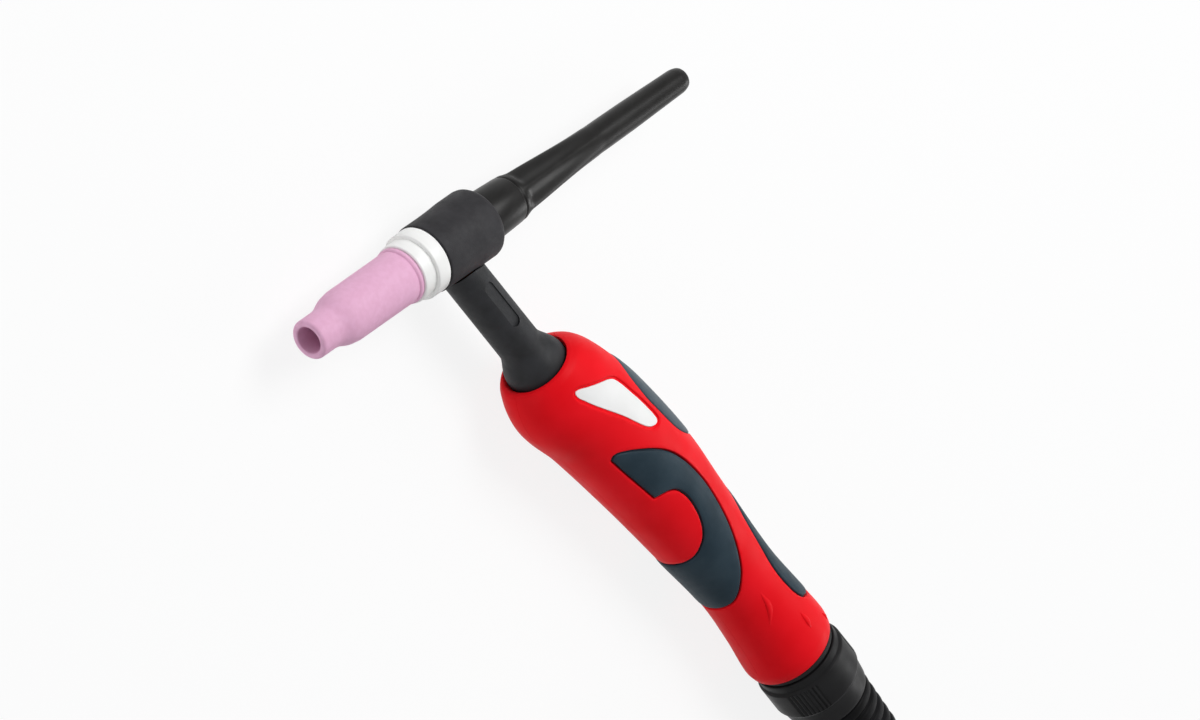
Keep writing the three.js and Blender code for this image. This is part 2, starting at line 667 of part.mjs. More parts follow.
// ---- Handle ---------------------------------------------------------------------------------

const inHandle = (place) => NECK_LENGTH + place;
const onRearAxis = (outline) => turnedAlongX(outline, REAR_OFFSET);
const handleBack = inHandle(HANDLE_LENGTH);
const sleeveFront = handleBack - SLEEVE_DEPTH;
const sleeveFlange = handleBack - FLANGE_FROM;
const slot = backBlock(grown(triggerOutline(), TRIGGER_CLEAR), HOLDER_TOP);
const pinPlace = TRIGGER_AT + TRIGGER_LENGTH - PIN_FROM_TRIGGER_END;
const pinX = inHandle(pinPlace);
const pinY = back(pinPlace) - PIN_BELOW_BACK;
const pinHalf = flankAt(pinPlace, pinY) - PIN_SEAT / 2;

const screwSeat = ([place, y]) => -(flankAt(place, y) - SCREW_SUNK - SCREW_HEAD);

// Everything that is hollow in the pair of shells
function hollow() {
  const cavity = handleSolid(WALL, FRONT_BLOCK, fromRear(REAR_BLOCK));
  const [postPlace, postY] = SCREWS[1];
  const post = solid(rodAlongZ(POST_R, inHandle(postPlace), postY, -BLOCK, BLOCK));
  const front = [
    turnedAlongX(rod(FLARE_R + GAP, NECK_LENGTH - 1, flangeBack + GAP)),
    turnedAlongX(rod(NECK_TAIL_R + GAP, NECK_LENGTH, inHandle(FRONT_BLOCK) + 1)),
  ];
  const rear = [
    onRearAxis(rod(SLEEVE_R + GAP, sleeveFront - GAP, handleBack + 1)),
    onRearAxis(rod(FLANGE_R + GAP, sleeveFlange - GAP, sleeveFlange + FLANGE_THICK + GAP)),
    onRearAxis(rod(SLEEVE_BORE_R, handleBack - REAR_BLOCK - 1, sleeveFront)),
  ];
  return [...front, ...rear].reduce((all, bore) => all.add(solid(bore)), cavity.subtract(post));
}

function handlePair() {
  const pockets = [1, -1].flatMap((side) => [
    pocket(sideBlock(grown(gripOutline, GROOVE), side), GRIP_THICK + GAP),
    pocket(sideBlock(grown(labelOutline, LABEL_BORDER), side), LABEL_DEPTH + LABEL_THICK + GAP),
  ]);
  pockets.push(pocket(sideBlock(grown(padOutline, GROOVE), 0), GRIP_THICK + GAP));
  const pin = solid(rodAlongZ(PIN_R + GAP, pinX, pinY, -pinHalf - GAP, pinHalf + GAP, 12));
  const holes = SCREWS.flatMap((screw) => {
    const [x, y, seat] = [inHandle(screw[0]), screw[1], screwSeat(screw)];
    return [
      solid(rodAlongZ(SCREW_R + GAP, x, y, seat - GAP, seat + SCREW_LENGTH + GAP, 12)),
      solid(rodAlongZ(SCREW_HEAD_R + GAP, x, y, -BLOCK, seat)),
    ];
  });
  const cuts = [hollow(), slot, pin, ...pockets, ...holes];
  return cuts.reduce((all, cut) => all.subtract(cut), handleOuter);
}

const pair = handlePair();
const halfSpace = (side) => {
  const z = side > 0 ? [0, BLOCK] : [-BLOCK, 0];
  return solid(box([NECK_LENGTH - 5, handleBack + 5], [-2 * OVER, 2 * OVER], z));
};
const gripSide = (side) => skin(sideBlock(gripOutline, side), GRIP_THICK);
const labelSide = (side) => skin(sideBlock(labelOutline, side), LABEL_THICK, LABEL_DEPTH);
const pad = skin(sideBlock(padOutline, 0), GRIP_THICK);

add(torch, 'handle_shell_left', pair.intersect(halfSpace(1)), redShell);
add(torch, 'handle_shell_right', pair.intersect(halfSpace(-1)), redShell);
add(torch, 'side_grip_left', gripSide(1), grey);
add(torch, 'side_grip_right', gripSide(-1), grey);
add(torch, 'palm_pad', pad, grey);
add(torch, 'label_plate_left', labelSide(1), white);
add(torch, 'label_plate_right', labelSide(-1), white);

SCREWS.forEach((screw, i) => {
  const seat = screwSeat(screw) + GAP;
  const [x, y] = [inHandle(screw[0]), screw[1]];
  const shaft = solid(rodAlongZ(SCREW_R, x, y, seat - SCREW_HEAD, seat + SCREW_LENGTH - GAP, 12));
  const screwHead = solid(rodAlongZ(SCREW_HEAD_R, x, y, seat - GAP - SCREW_HEAD, seat - 2 * GAP));
  add(torch, `shell_screw_${i + 1}`, shaft.add(screwHead), steel);
});

// ---- Trigger and switch ---------------------------------------------------------------------

const plungerPlace = TRIGGER_AT + SWITCH_FROM_TRIGGER;
const plungerX = inHandle(plungerPlace);
const switchFloor = HOLDER_TOP + GAP;
const switchTop = switchFloor + SWITCH_HEIGHT;
const plungerTop = switchTop + PLUNGER_OUT;

function trigger() {
  const block = backBlock(triggerOutline(), HOLDER_TOP);
  const plate = skin(block, TRIGGER_THICK);
  const hub = solid(rodAlongZ(HUB_R, pinX, pinY, -HUB_HALF, HUB_HALF)).intersect(block);
  const inPlate = back(plungerPlace) - TRIGGER_THICK / 2;
  const nub = solid(rodAlongY(NUB_R, plungerX, 0, plungerTop + GAP, inPlate));
  const hole = solid(rodAlongZ(PIN_R + GAP, pinX, pinY, -TRIGGER_HALF, TRIGGER_HALF, 12));
  return plate.add(hub).add(nub).subtract(hole);
}

function switchHolder() {
  const front = inHandle(FRONT_BLOCK) + GAP;
  const plate = solid(box(
    [front, front + HOLDER_LENGTH], [HOLDER_TOP - HOLDER_THICK, HOLDER_TOP], [-2 * OVER, 2 * OVER],
  ));
  return handleSolid(WALL + GAP).intersect(plate);
}

function microswitch() {
  const x = [plungerX - SWITCH_LENGTH / 2, plungerX + SWITCH_LENGTH / 2];
  const body = solid(box(x, [switchFloor, switchTop], [-SWITCH_WIDTH / 2, SWITCH_WIDTH / 2]));
  const floor = plungerTop - PLUNGER_LENGTH - PLUNGER_OUT - GAP;
  return body.subtract(solid(rodAlongY(PLUNGER_R + GAP, plungerX, 0, floor, switchTop + 1)));
}

const hoseStart = [connectorBack + GAP, 0, 0];
const hoseEnd = handleBack - SLEEVE_DEPTH - GAP;
const hoseRoute = [
  hoseStart, [hoseStart[0] + 8, 0.1, 0], [inHandle(80), 3.2, 0], [inHandle(100), 6.4, 0],
  [hoseEnd - 21.7, REAR_OFFSET - 0.3, 0], [hoseEnd, REAR_OFFSET, 0],
];
const wireY = switchFloor + SWITCH_HEIGHT / 2;
const wireTop = REAR_OFFSET + (HOSE_R + SLEEVE_BORE_R) / 2; // between the hose and the sleeve's bore
const wireRoute = [
  [plungerX + SWITCH_LENGTH / 2 + GAP, wireY, 0], [inHandle(58), wireY, 0],
  [inHandle(80), wireY - 0.4, 0], [hoseEnd - 34.7, wireTop + 0.4, 0], [hoseEnd - 12, wireTop, 0],
  [hoseEnd, wireTop, 0],
];

add(torch, 'trigger', trigger(), grey);
add(torch, 'trigger_pin', rodAlongZ(PIN_R, pinX, pinY, -pinHalf, pinHalf, 12), steel);
add(torch, 'switch_holder', switchHolder(), hoseBlack);
add(torch, 'microswitch', microswitch(), glossBlack);
const plunger = rodAlongY(PLUNGER_R, plungerX, 0, plungerTop - PLUNGER_LENGTH, plungerTop);
add(torch, 'switch_plunger', plunger, white);
add(torch, 'power_hose', swept(hoseRoute, HOSE_R, 10, 12), hoseBlack);
add(torch, 'switch_wires', swept(wireRoute, WIRE_R, 8, 10), hoseBlack);

// ---- Swivel, collar and boot ----------------------------------------------------------------

const sleeveBack = handleBack + SLEEVE_OUT;
const collarFront = handleBack + 2 * GAP + SEAL_RING;
const collarBack = collarFront + COLLAR_LENGTH;
const bootFront = collarBack + GAP;
const bootBack = bootFront + BOOT_LENGTH;

function swivelSleeve() {
  const flangeEnd = sleeveFlange + FLANGE_THICK;
  return onRearAxis([
    [SLEEVE_BORE_R, sleeveFront], [SLEEVE_R, sleeveFront], [SLEEVE_R, sleeveFlange],
    [FLANGE_R, sleeveFlange], [FLANGE_R, flangeEnd], [SLEEVE_R, flangeEnd], [SLEEVE_R, sleeveBack],
    [SLEEVE_BORE_R, sleeveBack], [SLEEVE_BORE_R, sleeveFront],
  ]);
}

function bootCollar() {
  const rim = collarFront + COLLAR_RIM;
  const seat = SLEEVE_R + GAP;
  const step = sleeveBack + GAP;
  const bore = HOSE_R + GAP;
  return onRearAxis([
    [seat, collarFront], [COLLAR_R - 0.6, collarFront], [COLLAR_R, collarFront + 0.8],
    [COLLAR_R, rim - 0.6], [COLLAR_NECK_R, rim + 0.4], [COLLAR_END_R, collarBack], [bore, collarBack],
    [bore, step], [seat, step], [seat, collarFront],
  ]);
}

function strainBoot() {
  const bore = HOSE_R + GAP;
  const socket = bootBack - BOOT_SOCKET;
  const rings = [];
  const pitch = BOOT_LENGTH / BOOT_RINGS;
  for (let i = 0; i < BOOT_RINGS; i += 1) {
    const radius = THREE.MathUtils.lerp(BOOT_R, BOOT_END_R, i / (BOOT_RINGS - 1));
    const start = bootFront + i * pitch;
    rings.push([radius, start + 0.1 * pitch], [radius - BOOT_RING_DEPTH, start + 0.75 * pitch]);
  }
  return onRearAxis([
    [bore, bootFront], [BOOT_R, bootFront], ...rings, [BOOT_END_R - BOOT_RING_DEPTH, bootBack],
    [CABLE_R + GAP, bootBack], [CABLE_R + GAP, socket], [bore, socket], [bore, bootFront],
  ]);
}

add(torch, 'swivel_sleeve', swivelSleeve(), hoseBlack);
const sealRing = tube(SLEEVE_R + GAP, SEAL_RING_R, handleBack + GAP, collarFront - GAP);
add(torch, 'swivel_seal', onRearAxis(sealRing), softBlack);
add(torch, 'boot_collar', bootCollar(), softBlack);
add(torch, 'strain_boot', strainBoot(), hoseBlack);
const core = rod(HOSE_R, sleeveFront + GAP, bootBack - BOOT_SOCKET - GAP);
add(torch, 'cable_core', onRearAxis(core), hoseBlack);

// ---- Cable, coil and plugs ------------------------------------------------------------------

const coilR = COIL_OUT_R + CABLE_R;
const coilTop = COIL_LAYERS * 2 * CABLE_R;

function coil() {
  const inner = COIL_IN_R - CABLE_R;
  const edge = CABLE_R / 2;
  return turned([
    [inner, edge], [inner + edge, 0], [coilR - edge, 0], [coilR, edge], [coilR, coilTop - edge],
    [coilR - edge, coilTop], [inner + edge, coilTop], [inner, coilTop - edge], [inner, edge],
  ], WIDE_ROUND).rotateX(Math.PI / 2).translate(COIL_X, COIL_Y, BENCH + CABLE_REST);
}

// Where the cable joins the coil, its tube ends at the coil's outer face
const coilRoom = solid(turned(rod(coilR + GAP, -coilTop, 3 * coilTop), WIDE_ROUND)
  .rotateX(Math.PI / 2).translate(COIL_X, COIL_Y, BENCH));
const cableTube = (route, steps) => solid(swept(route, CABLE_R, CABLE_SIDES, steps)).subtract(coilRoom);

function splitter() {
  const half = CABLE_R + GAP + SPLITTER_WALL;
  const [low, high] = [TAIL_Y - half, TAIL_Y + SPLITTER_SIDE];
  const edge = 4;
  const outline = [
    [SPLITTER_AT, low], [SPLITTER_AT + SPLITTER_LENGTH, low],
    [SPLITTER_AT + SPLITTER_LENGTH, TAIL_Y + half], [SPLITTER_AT + SPLITTER_LENGTH / 2, high],
    [SPLITTER_AT + 3, high], [SPLITTER_AT, high - edge],
  ];
  const block = solid(extruded(outline, 2 * half).translate(0, 0, BENCH + CABLE_REST));
  const bore = rod(CABLE_R + GAP, SPLITTER_AT - 1, SPLITTER_AT + 2 * SPLITTER_LENGTH);
  return block.subtract(solid(turnedAlongX(bore, TAIL_Y).translate(0, 0, SPLITTER_Z)));
}

// Both plugs point to -X, away from the coil
const plugFace = PLUG_AT - PLUG_LENGTH;
const plugBore = PLUG_PIN_R + GAP;

function powerPlug() {
  const collar = PLUG_AT - 0.45 * PLUG_LENGTH;
  const socket = PLUG_AT - BOOT_SOCKET;
  return turnedAlongX([
    [plugBore, plugFace], [PLUG_FACE_R, plugFace], [PLUG_FACE_R, plugFace + 12],
    [PLUG_R, plugFace + 14], [PLUG_R, collar], [PLUG_SLEEVE_R + 2, collar + 6],
    [PLUG_SLEEVE_R, PLUG_AT], [CABLE_R + GAP, PLUG_AT], [CABLE_R + GAP, socket], [plugBore, socket],
    [plugBore, plugFace],
  ], TAIL_Y).translate(0, 0, PLUG_Z);
}

function powerPin() {
  const tip = plugFace - PLUG_PIN_LENGTH;
  const root = plugFace + PLUG_SHANK;
  return turnedAlongX([
    [0, tip], [PLUG_PIN_R - 1, tip], [PLUG_PIN_R, tip + 1], [PLUG_PIN_R, root], [0, root],
  ], TAIL_Y).translate(0, 0, PLUG_Z);
}

const controlFace = CONTROL_AT - CONTROL_LENGTH;
const ringBack = controlFace + CONTROL_RING;
const ringFront = controlFace + CONTROL_NOSE;
const onControlAxis = (outline) =>
  turnedAlongX(outline, CONTROL_Y).translate(0, 0, BENCH + CONTROL_RING_R + GAP);

function controlPlug() {
  const socket = CONTROL_AT - CONTROL_SOCKET;
  return onControlAxis([
    [0, controlFace], [CONTROL_FACE_R, controlFace], [CONTROL_FACE_R, ringFront],
    [CONTROL_THREAD_R, ringFront], [CONTROL_THREAD_R, ringBack], [CONTROL_R, ringBack],
    [CONTROL_R, CONTROL_AT - 9], [LEAD_R + 2, CONTROL_AT], [LEAD_R + GAP, CONTROL_AT],
    [LEAD_R + GAP, socket], [0, socket],
  ]);
}

const controlRing = () =>
  onControlAxis(tube(CONTROL_THREAD_R + GAP, CONTROL_RING_R, ringFront + GAP, ringBack - GAP));

add(torch, 'cable_run', cableTube(CABLE_ROUTE, 12), hoseBlack);
add(torch, 'cable_coil', coil(), hoseBlack);
add(torch, 'cable_tail', cableTube(TAIL_ROUTE, 12), hoseBlack);
add(torch, 'cable_splitter', splitter(), softBlack);
add(torch, 'power_plug', powerPlug(), softBlack);
add(torch, 'power_plug_pin', powerPin(), brass);
add(torch, 'control_lead', swept(LEAD_ROUTE, LEAD_R, 8, 10), hoseBlack);
add(torch, 'control_plug', controlPlug(), glossBlack);
add(torch, 'control_plug_ring', controlRing(), steel);

// ---- Place ----------------------------------------------------------------------------------

// The origin is on the bench, under the middle of the torch without its cable
const onCable = [
  'cable_run', 'cable_coil', 'cable_tail', 'cable_splitter', 'power_plug', 'power_plug_pin',
  'control_lead', 'control_plug', 'control_plug_ring',
];
torch.updateMatrixWorld(true);
const bounds = new THREE.Box3();
torch.traverse((piece) => {
  if (piece.isMesh && !onCable.includes(piece.name)) bounds.expandByObject(piece, true);
});
const middle = bounds.getCenter(new THREE.Vector3());
torch.position.set(-middle.x, -middle.y, -bounds.min.z);

export default torch;
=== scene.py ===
"""Looks for a hand-held TIG welding torch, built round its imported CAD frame.

Pieces are drawn in millimetres, from the point where the head and neck axes cross: X runs
along the handle towards the cable, the gas cup points to -Y, and Z is up from the bench.
"""
import math
import bmesh
import bpy
from mathutils import Matrix, Vector


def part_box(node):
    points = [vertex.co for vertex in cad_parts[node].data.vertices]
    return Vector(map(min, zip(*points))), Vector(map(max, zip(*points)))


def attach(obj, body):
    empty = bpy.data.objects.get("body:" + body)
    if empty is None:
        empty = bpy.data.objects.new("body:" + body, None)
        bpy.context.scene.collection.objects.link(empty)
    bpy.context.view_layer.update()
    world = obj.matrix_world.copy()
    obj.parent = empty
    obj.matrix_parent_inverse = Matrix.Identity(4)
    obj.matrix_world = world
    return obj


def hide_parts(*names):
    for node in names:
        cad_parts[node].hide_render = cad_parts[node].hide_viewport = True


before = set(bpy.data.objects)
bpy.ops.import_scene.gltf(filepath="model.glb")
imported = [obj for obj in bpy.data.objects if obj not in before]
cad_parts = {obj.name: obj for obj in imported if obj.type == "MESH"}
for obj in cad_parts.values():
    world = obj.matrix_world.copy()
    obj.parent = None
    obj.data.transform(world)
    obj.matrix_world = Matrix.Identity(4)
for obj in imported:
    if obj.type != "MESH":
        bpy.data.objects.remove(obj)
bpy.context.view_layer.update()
SCENE = bpy.context.scene

MM = 0.001
GAP = 0.3  # between pieces that touch or run on each other

# Sizes shared with the frame, in the drawing's millimetres
HEAD_LEAN = 25  # degrees between the cup's axis and -Y
NECK_LENGTH = 61  # from the head's axis to the front of the handle
HANDLE_LENGTH = 161
REAR_OFFSET = 8.4  # from the neck's axis to the handle's axis at its back end
HANDLE_BACK = NECK_LENGTH + HANDLE_LENGTH
BENCH = -17.4
CABLE_R = 8
CABLE_REST = 0.1
CABLE_Z = BENCH + CABLE_R + CABLE_REST
UPPER_Z = CABLE_Z + 2 * CABLE_R  # the coil's upper layer
LEAD_R = 3
COIL_X = 490
COIL_OUT_R = 107
COIL_IN_R = 58
COIL_Y = REAR_OFFSET - 10
TAIL_Y = COIL_Y - 95.7
SPLITTER_FACE = 324
SPLITTER_WALL = 2.7  # round the cable
SPLITTER_Z = CABLE_Z + SPLITTER_WALL
PLUG_END = 250
PLUG_FACE = 172
PLUG_Z = BENCH + 15.1
LEAD_Y = TAIL_Y + 14.6
LEAD_Z = BENCH + 10
CONTROL_END = 222
CONTROL_FACE = 188
CONTROL_Y = LEAD_Y + 16.4
CONTROL_Z = BENCH + 9.7

shell_low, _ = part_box("handle_shell_left")
tube_low, tube_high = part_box("neck_tube")
ORIGIN = Vector((
    shell_low.x / MM - NECK_LENGTH,
    (tube_low.y + tube_high.y) / 2 / MM,
    (tube_low.z + tube_high.z) / 2 / MM,
))

# From a drawing in millimetres to the frame: the torch's own, and those of the pieces that are
# turned round the head's axis or the handle's rear axis
TORCH = Matrix.Scale(MM, 4) @ Matrix.Translation(ORIGIN)
HEAD = TORCH @ Matrix.Rotation(math.radians(-HEAD_LEAN), 4, "Z")
ALONG_X = Matrix.Rotation(math.radians(-90), 4, "Z")
ALONG_Z = Matrix.Rotation(math.radians(90), 4, "X")
FROM_BELOW = Matrix.Rotation(math.radians(-90), 4, "X")
REAR = TORCH @ Matrix.Translation((0, REAR_OFFSET, 0)) @ ALONG_X


# ---- Camera ---------------------------------------------------------------------------------

camera_data = bpy.data.cameras.new("camera")
camera_data.lens = 800
camera_data.sensor_width = 36
camera_data.clip_start = 0.1
camera_data.clip_end = 60
camera = bpy.data.objects.new("camera", camera_data)
camera.location = (-5.35844, -3.62172, 5.83341)
camera.rotation_mode = "QUATERNION"
camera.rotation_quaternion = (0.858437, 0.099393, -0.392834, 0.314465)
SCENE.collection.objects.link(camera)
SCENE.camera = camera


# ---- Finishes -------------------------------------------------------------------------------

NOISE_RANGE = (0.3, 0.7)  # where nearly all of a noise's values lie


def tone(code):
    """A colour from its screen code, as a shader takes it."""
    parts = [int(code[i:i + 2], 16) / 255 for i in (1, 3, 5)]
    return [p / 12.92 if p <= 0.04045 else ((p + 0.055) / 1.055) ** 2.4 for p in parts] + [1]


class Finish:
    """A material with one Principled shader, and the nodes that are added to it."""

    def __init__(self, name, roughness, metallic=0.0, **constants):
        self.material = bpy.data.materials.new(name)
        self.material.use_nodes = True
        self.nodes = self.material.node_tree.nodes
        self.links = self.material.node_tree.links
        self.shader = self.nodes["Principled BSDF"]
        self.shader.inputs["Roughness"].default_value = roughness
        self.shader.inputs["Metallic"].default_value = metallic
        for socket, value in constants.items():
            self.shader.inputs[socket.replace("_", " ")].default_value = value
        self.place = self.nodes.new("ShaderNodeTexCoord").outputs["Object"]

    def turned_to(self, turn_z, scale=(1, 1, 1)):
        """Object coordinates turned about Z and stretched."""
        turn = self.nodes.new("ShaderNodeMapping")
        turn.inputs["Rotation"].default_value = (0, 0, math.radians(turn_z))
        turn.inputs["Scale"].default_value = scale
        self.links.new(self.place, turn.inputs["Vector"])
        return turn.outputs["Vector"]

    def noise(self, size, detail=3.0, place=None):
        """Noise with features of about size millimetres."""
        node = self.nodes.new("ShaderNodeTexNoise")
        node.inputs["Scale"].default_value = 1 / (size * MM)
        node.inputs["Detail"].default_value = detail
        self.links.new(place or self.place, node.inputs["Vector"])
        return node.outputs["Fac"]

    def ramp(self, value, *stops):
        """Colours or greys at places along a value."""
        node = self.nodes.new("ShaderNodeValToRGB")
        elements = node.color_ramp.elements
        while len(elements) < len(stops):
            elements.new(0.5)
        for element, (position, colour) in zip(elements, stops):
            element.position = position
            element.color = colour
        self.links.new(value, node.inputs["Fac"])
        return node.outputs["Color"]

    def colour(self, value, *stops):
        self.links.new(self.ramp(value, *stops), self.shader.inputs["Base Color"])

    def gloss(self, value, low, high):
        """Roughness from low to high, as a noise rises."""
        node = self.nodes.new("ShaderNodeMapRange")
        node.inputs["From Min"].default_value = NOISE_RANGE[0]
        node.inputs["From Max"].default_value = NOISE_RANGE[1]
        node.inputs["To Min"].default_value = low
        node.inputs["To Max"].default_value = high
        self.links.new(value, node.inputs["Value"])
        self.links.new(node.outputs["Result"], self.shader.inputs["Roughness"])

    def relief(self, value, height):
        """A bump of height millimetres; another call adds to the one before."""
        node = self.nodes.new("ShaderNodeBump")
        node.inputs["Distance"].default_value = height * MM
        node.inputs["Strength"].default_value = 1
        self.links.new(value, node.inputs["Height"])
        before = self.shader.inputs["Normal"].links
        if before:
            self.links.new(before[0].from_socket, node.inputs["Normal"])
        self.links.new(node.outputs["Normal"], self.shader.inputs["Normal"])


def moulded(name, dark, light, roughness, grain=0.3, height=0.02, patch=14.0, gleam=0.5):
    """Moulded plastic or rubber: soft colour changes, fine grain and uneven gloss."""
    made = Finish(name, roughness, Specular_IOR_Level=gleam)
    made.colour(made.noise(patch), (0.35, tone(dark)), (0.65, tone(light)))
    made.gloss(made.noise(patch / 3, 5), roughness - 0.06, roughness + 0.06)
    made.relief(made.noise(grain, 2), height)
    return made


def machined(name, dark, light, roughness, turn_z=-HEAD_LEAN):
    """Turned metal with fine tool lines across its axis, which lies turn_z degrees from Y."""
    made = Finish(name, roughness, 1.0)
    made.colour(made.noise(5, 4), (0.3, tone(dark)), (0.7, tone(light)))
    tool_lines = made.nodes.new("ShaderNodeTexWave")
    tool_lines.bands_direction = "Y"
    tool_lines.inputs["Scale"].default_value = 0.4 / MM
    tool_lines.inputs["Distortion"].default_value = 1.5
    tool_lines.inputs["Detail"].default_value = 2
    made.links.new(made.turned_to(-turn_z), tool_lines.inputs["Vector"])
    made.relief(tool_lines.outputs["Fac"], 0.02)
    made.gloss(made.noise(2), roughness - 0.08, roughness + 0.08)
    return made


alumina = moulded("alumina", "#E9B1D0", "#EEB8D7", 0.6, grain=0.25, patch=2, gleam=0.3)
insulator = moulded(
    "white_insulator", "#F8F8F5", "#FCFCFA", 0.4, grain=0.4, height=0.006, gleam=0.4,
)
head_rubber = moulded("head_rubber", "#232225", "#2C2B2E", 0.6, height=0.05, patch=7, gleam=0.25)
neck_rubber = moulded("neck_rubber", "#1B1C1E", "#252629", 0.55, height=0.05, patch=7, gleam=0.25)
collar_plastic = moulded("collar_plastic", "#141415", "#1D1D1E", 0.42, grain=0.4, gleam=0.12)
boot_rubber = moulded(
    "boot_rubber", "#0D0D0E", "#151517", 0.48, grain=0.5, height=0.03, gleam=0.06,
)
seal_rubber = moulded("seal_rubber", "#0F0F10", "#161617", 0.55, gleam=0.2)
plug_rubber = moulded(
    "plug_rubber", "#18191A", "#232425", 0.58, grain=0.4, height=0.05, gleam=0.3,
)
grip_rubber = moulded(
    "grip_rubber", "#22323C", "#2D3D47", 0.5, grain=0.25, height=0.04, gleam=0.12,
)
trigger_plastic = moulded("trigger_plastic", "#33424C", "#3D4B55", 0.48, grain=0.25, gleam=0.25)
label_film = moulded("label_film", "#EFEFED", "#F6F6F5", 0.35, grain=2, height=0.004, gleam=0.4)
inner_plastic = moulded("inner_plastic", "#131416", "#1B1C1E", 0.45, gleam=0.3)
red_plastic = moulded(
    "red_plastic", "#EE111C", "#F61824", 0.45, grain=0.3, height=0.01, patch=22, gleam=0.06,
)

cap_plastic = Finish("cap_plastic", 0.34, Specular_IOR_Level=0.2)
flow = cap_plastic.turned_to(HEAD_LEAN, scale=(1, 0.06, 1))  # streaks along the cap
cap_plastic.colour(cap_plastic.noise(3, 4, flow), (0.35, tone("#100F0E")), (0.7, tone("#191817")))
cap_plastic.relief(cap_plastic.noise(1.6, 1, flow), 0.001)
cap_plastic.gloss(cap_plastic.noise(6), 0.3, 0.38)

cable_rubber = Finish("cable_rubber", 0.6, Specular_IOR_Level=0.3)
cable_rubber.colour(cable_rubber.noise(9, 4), (0.35, tone("#151617")), (0.65, tone("#202122")))
cable_rubber.relief(cable_rubber.noise(0.6, 3), 0.04)
cable_rubber.gloss(cable_rubber.noise(5), 0.52, 0.68)

brass = machined("brass", "#B08A3C", "#CFA850", 0.28)
plug_brass = machined("plug_brass", "#B08A3C", "#CFA850", 0.25, turn_z=90)
copper = machined("copper", "#A8623C", "#C47E52", 0.32)
steel = machined("steel", "#8F9296", "#B4B7BB", 0.3, turn_z=90)
tungsten = Finish("tungsten", 0.3, 1.0)
tungsten.colour(tungsten.noise(2, 4), (0.3, tone("#85878A")), (0.7, tone("#A5A7AA")))
ground_lines = tungsten.turned_to(HEAD_LEAN, scale=(1, 0.05, 1))
tungsten.relief(tungsten.noise(0.3, 3, ground_lines), 0.01)


# ---- Making pieces --------------------------------------------------------------------------

def outwards(bm):
    """Turns every face of a closed shape outwards."""
    bmesh.ops.recalc_face_normals(bm, faces=bm.faces)
    if bm.calc_volume(signed=True) < 0:
        bmesh.ops.reverse_faces(bm, faces=bm.faces)


def finished(name, bm, place, look, body, nodes=(), sharp=35):
    """Puts a shape in its place in the frame as a piece that rides on a body."""
    bmesh.ops.transform(bm, matrix=place, verts=bm.verts)
    outwards(bm)
    mesh = bpy.data.meshes.new(name)
    bm.to_mesh(mesh)
    bm.free()
    mesh.shade_smooth()
    mesh.set_sharp_from_angle(angle=math.radians(sharp))
    mesh.materials.append(look.material)
    made = bpy.data.objects.new(name, mesh)
    SCENE.collection.objects.link(made)
    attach(made, body)
    if nodes:
        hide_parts(*nodes)
    return made


def turned(outline, steps=96, closed=True):
    """Points of (radius, distance) or (radius, distance, rounding) turned round the Y axis. An
    open outline starts and ends on the axis."""
    bm = bmesh.new()
    corners = [bm.verts.new((radius, distance, 0)) for radius, distance, *_ in outline]
    for first, second in zip(corners, corners[1:] + corners[:1] if closed else corners[1:]):
        bm.edges.new((first, second))
    for corner, (_, _, *rounding) in zip(corners, outline):
        if rounding:
            bmesh.ops.bevel(
                bm, geom=[corner], offset=rounding[0], offset_type="OFFSET", segments=4,
                profile=0.5, affect="VERTICES", material=-1, clamp_overlap=True,
            )
    bmesh.ops.spin(
        bm, geom=bm.verts[:] + bm.edges[:], cent=(0, 0, 0), axis=(0, 1, 0), dvec=(0, 0, 0),
        angle=2 * math.pi, steps=steps, use_merge=True, use_duplicate=False,
    )
    bmesh.ops.remove_doubles(bm, verts=bm.verts, dist=1e-4)
    bmesh.ops.recalc_face_normals(bm, faces=bm.faces)
    return bm


def turned_in_place(outline, place, steps=96, closed=True):
    """A turned shape moved from the Y axis, to be cut from or added to another."""
    bm = turned(outline, steps, closed)
    bmesh.ops.transform(bm, matrix=place, verts=bm.verts)
    return bm


def rod(radius, start, end):
    """The open outline of a plain rod."""
    return [(0, start), (radius, start), (radius, end), (0, end)]


def block(outline, low, high):
    """A flat outline in X and Y as a prism from low to high."""
    bm = bmesh.new()
    face = bm.faces.new([bm.verts.new((x, y, low)) for x, y in outline])
    top = bmesh.ops.extrude_face_region(bm, geom=[face], use_keep_orig=True)["geom"]
    raised = [v for v in top if isinstance(v, bmesh.types.BMVert)]
    bmesh.ops.translate(bm, vec=(0, 0, high - low), verts=raised)
    bmesh.ops.recalc_face_normals(bm, faces=bm.faces)
    return bm


def temporary(bm):
    """A shape as an object for a Boolean step."""
    mesh = bpy.data.meshes.new("temporary")
    outwards(bm)
    bm.to_mesh(mesh)
    bm.free()
    made = bpy.data.objects.new("temporary", mesh)
    SCENE.collection.objects.link(made)
    return made


def combined(bm, others, operation="DIFFERENCE"):
    """A shape with others cut from it, added to it or kept inside them."""
    base = temporary(bm)
    tools = [temporary(other) for other in others]
    for tool in tools:
        step = base.modifiers.new("step", "BOOLEAN")
        step.object = tool
        step.operation = operation
        step.solver = "MANIFOLD"
    result = base.evaluated_get(bpy.context.evaluated_depsgraph_get())
    made = bmesh.new()
    made.from_mesh(result.data)
    for used in [base, *tools]:
        mesh = used.data
        bpy.data.objects.remove(used)
        bpy.data.meshes.remove(mesh)
    bmesh.ops.dissolve_degenerate(made, edges=made.edges, dist=1e-4)
    return made


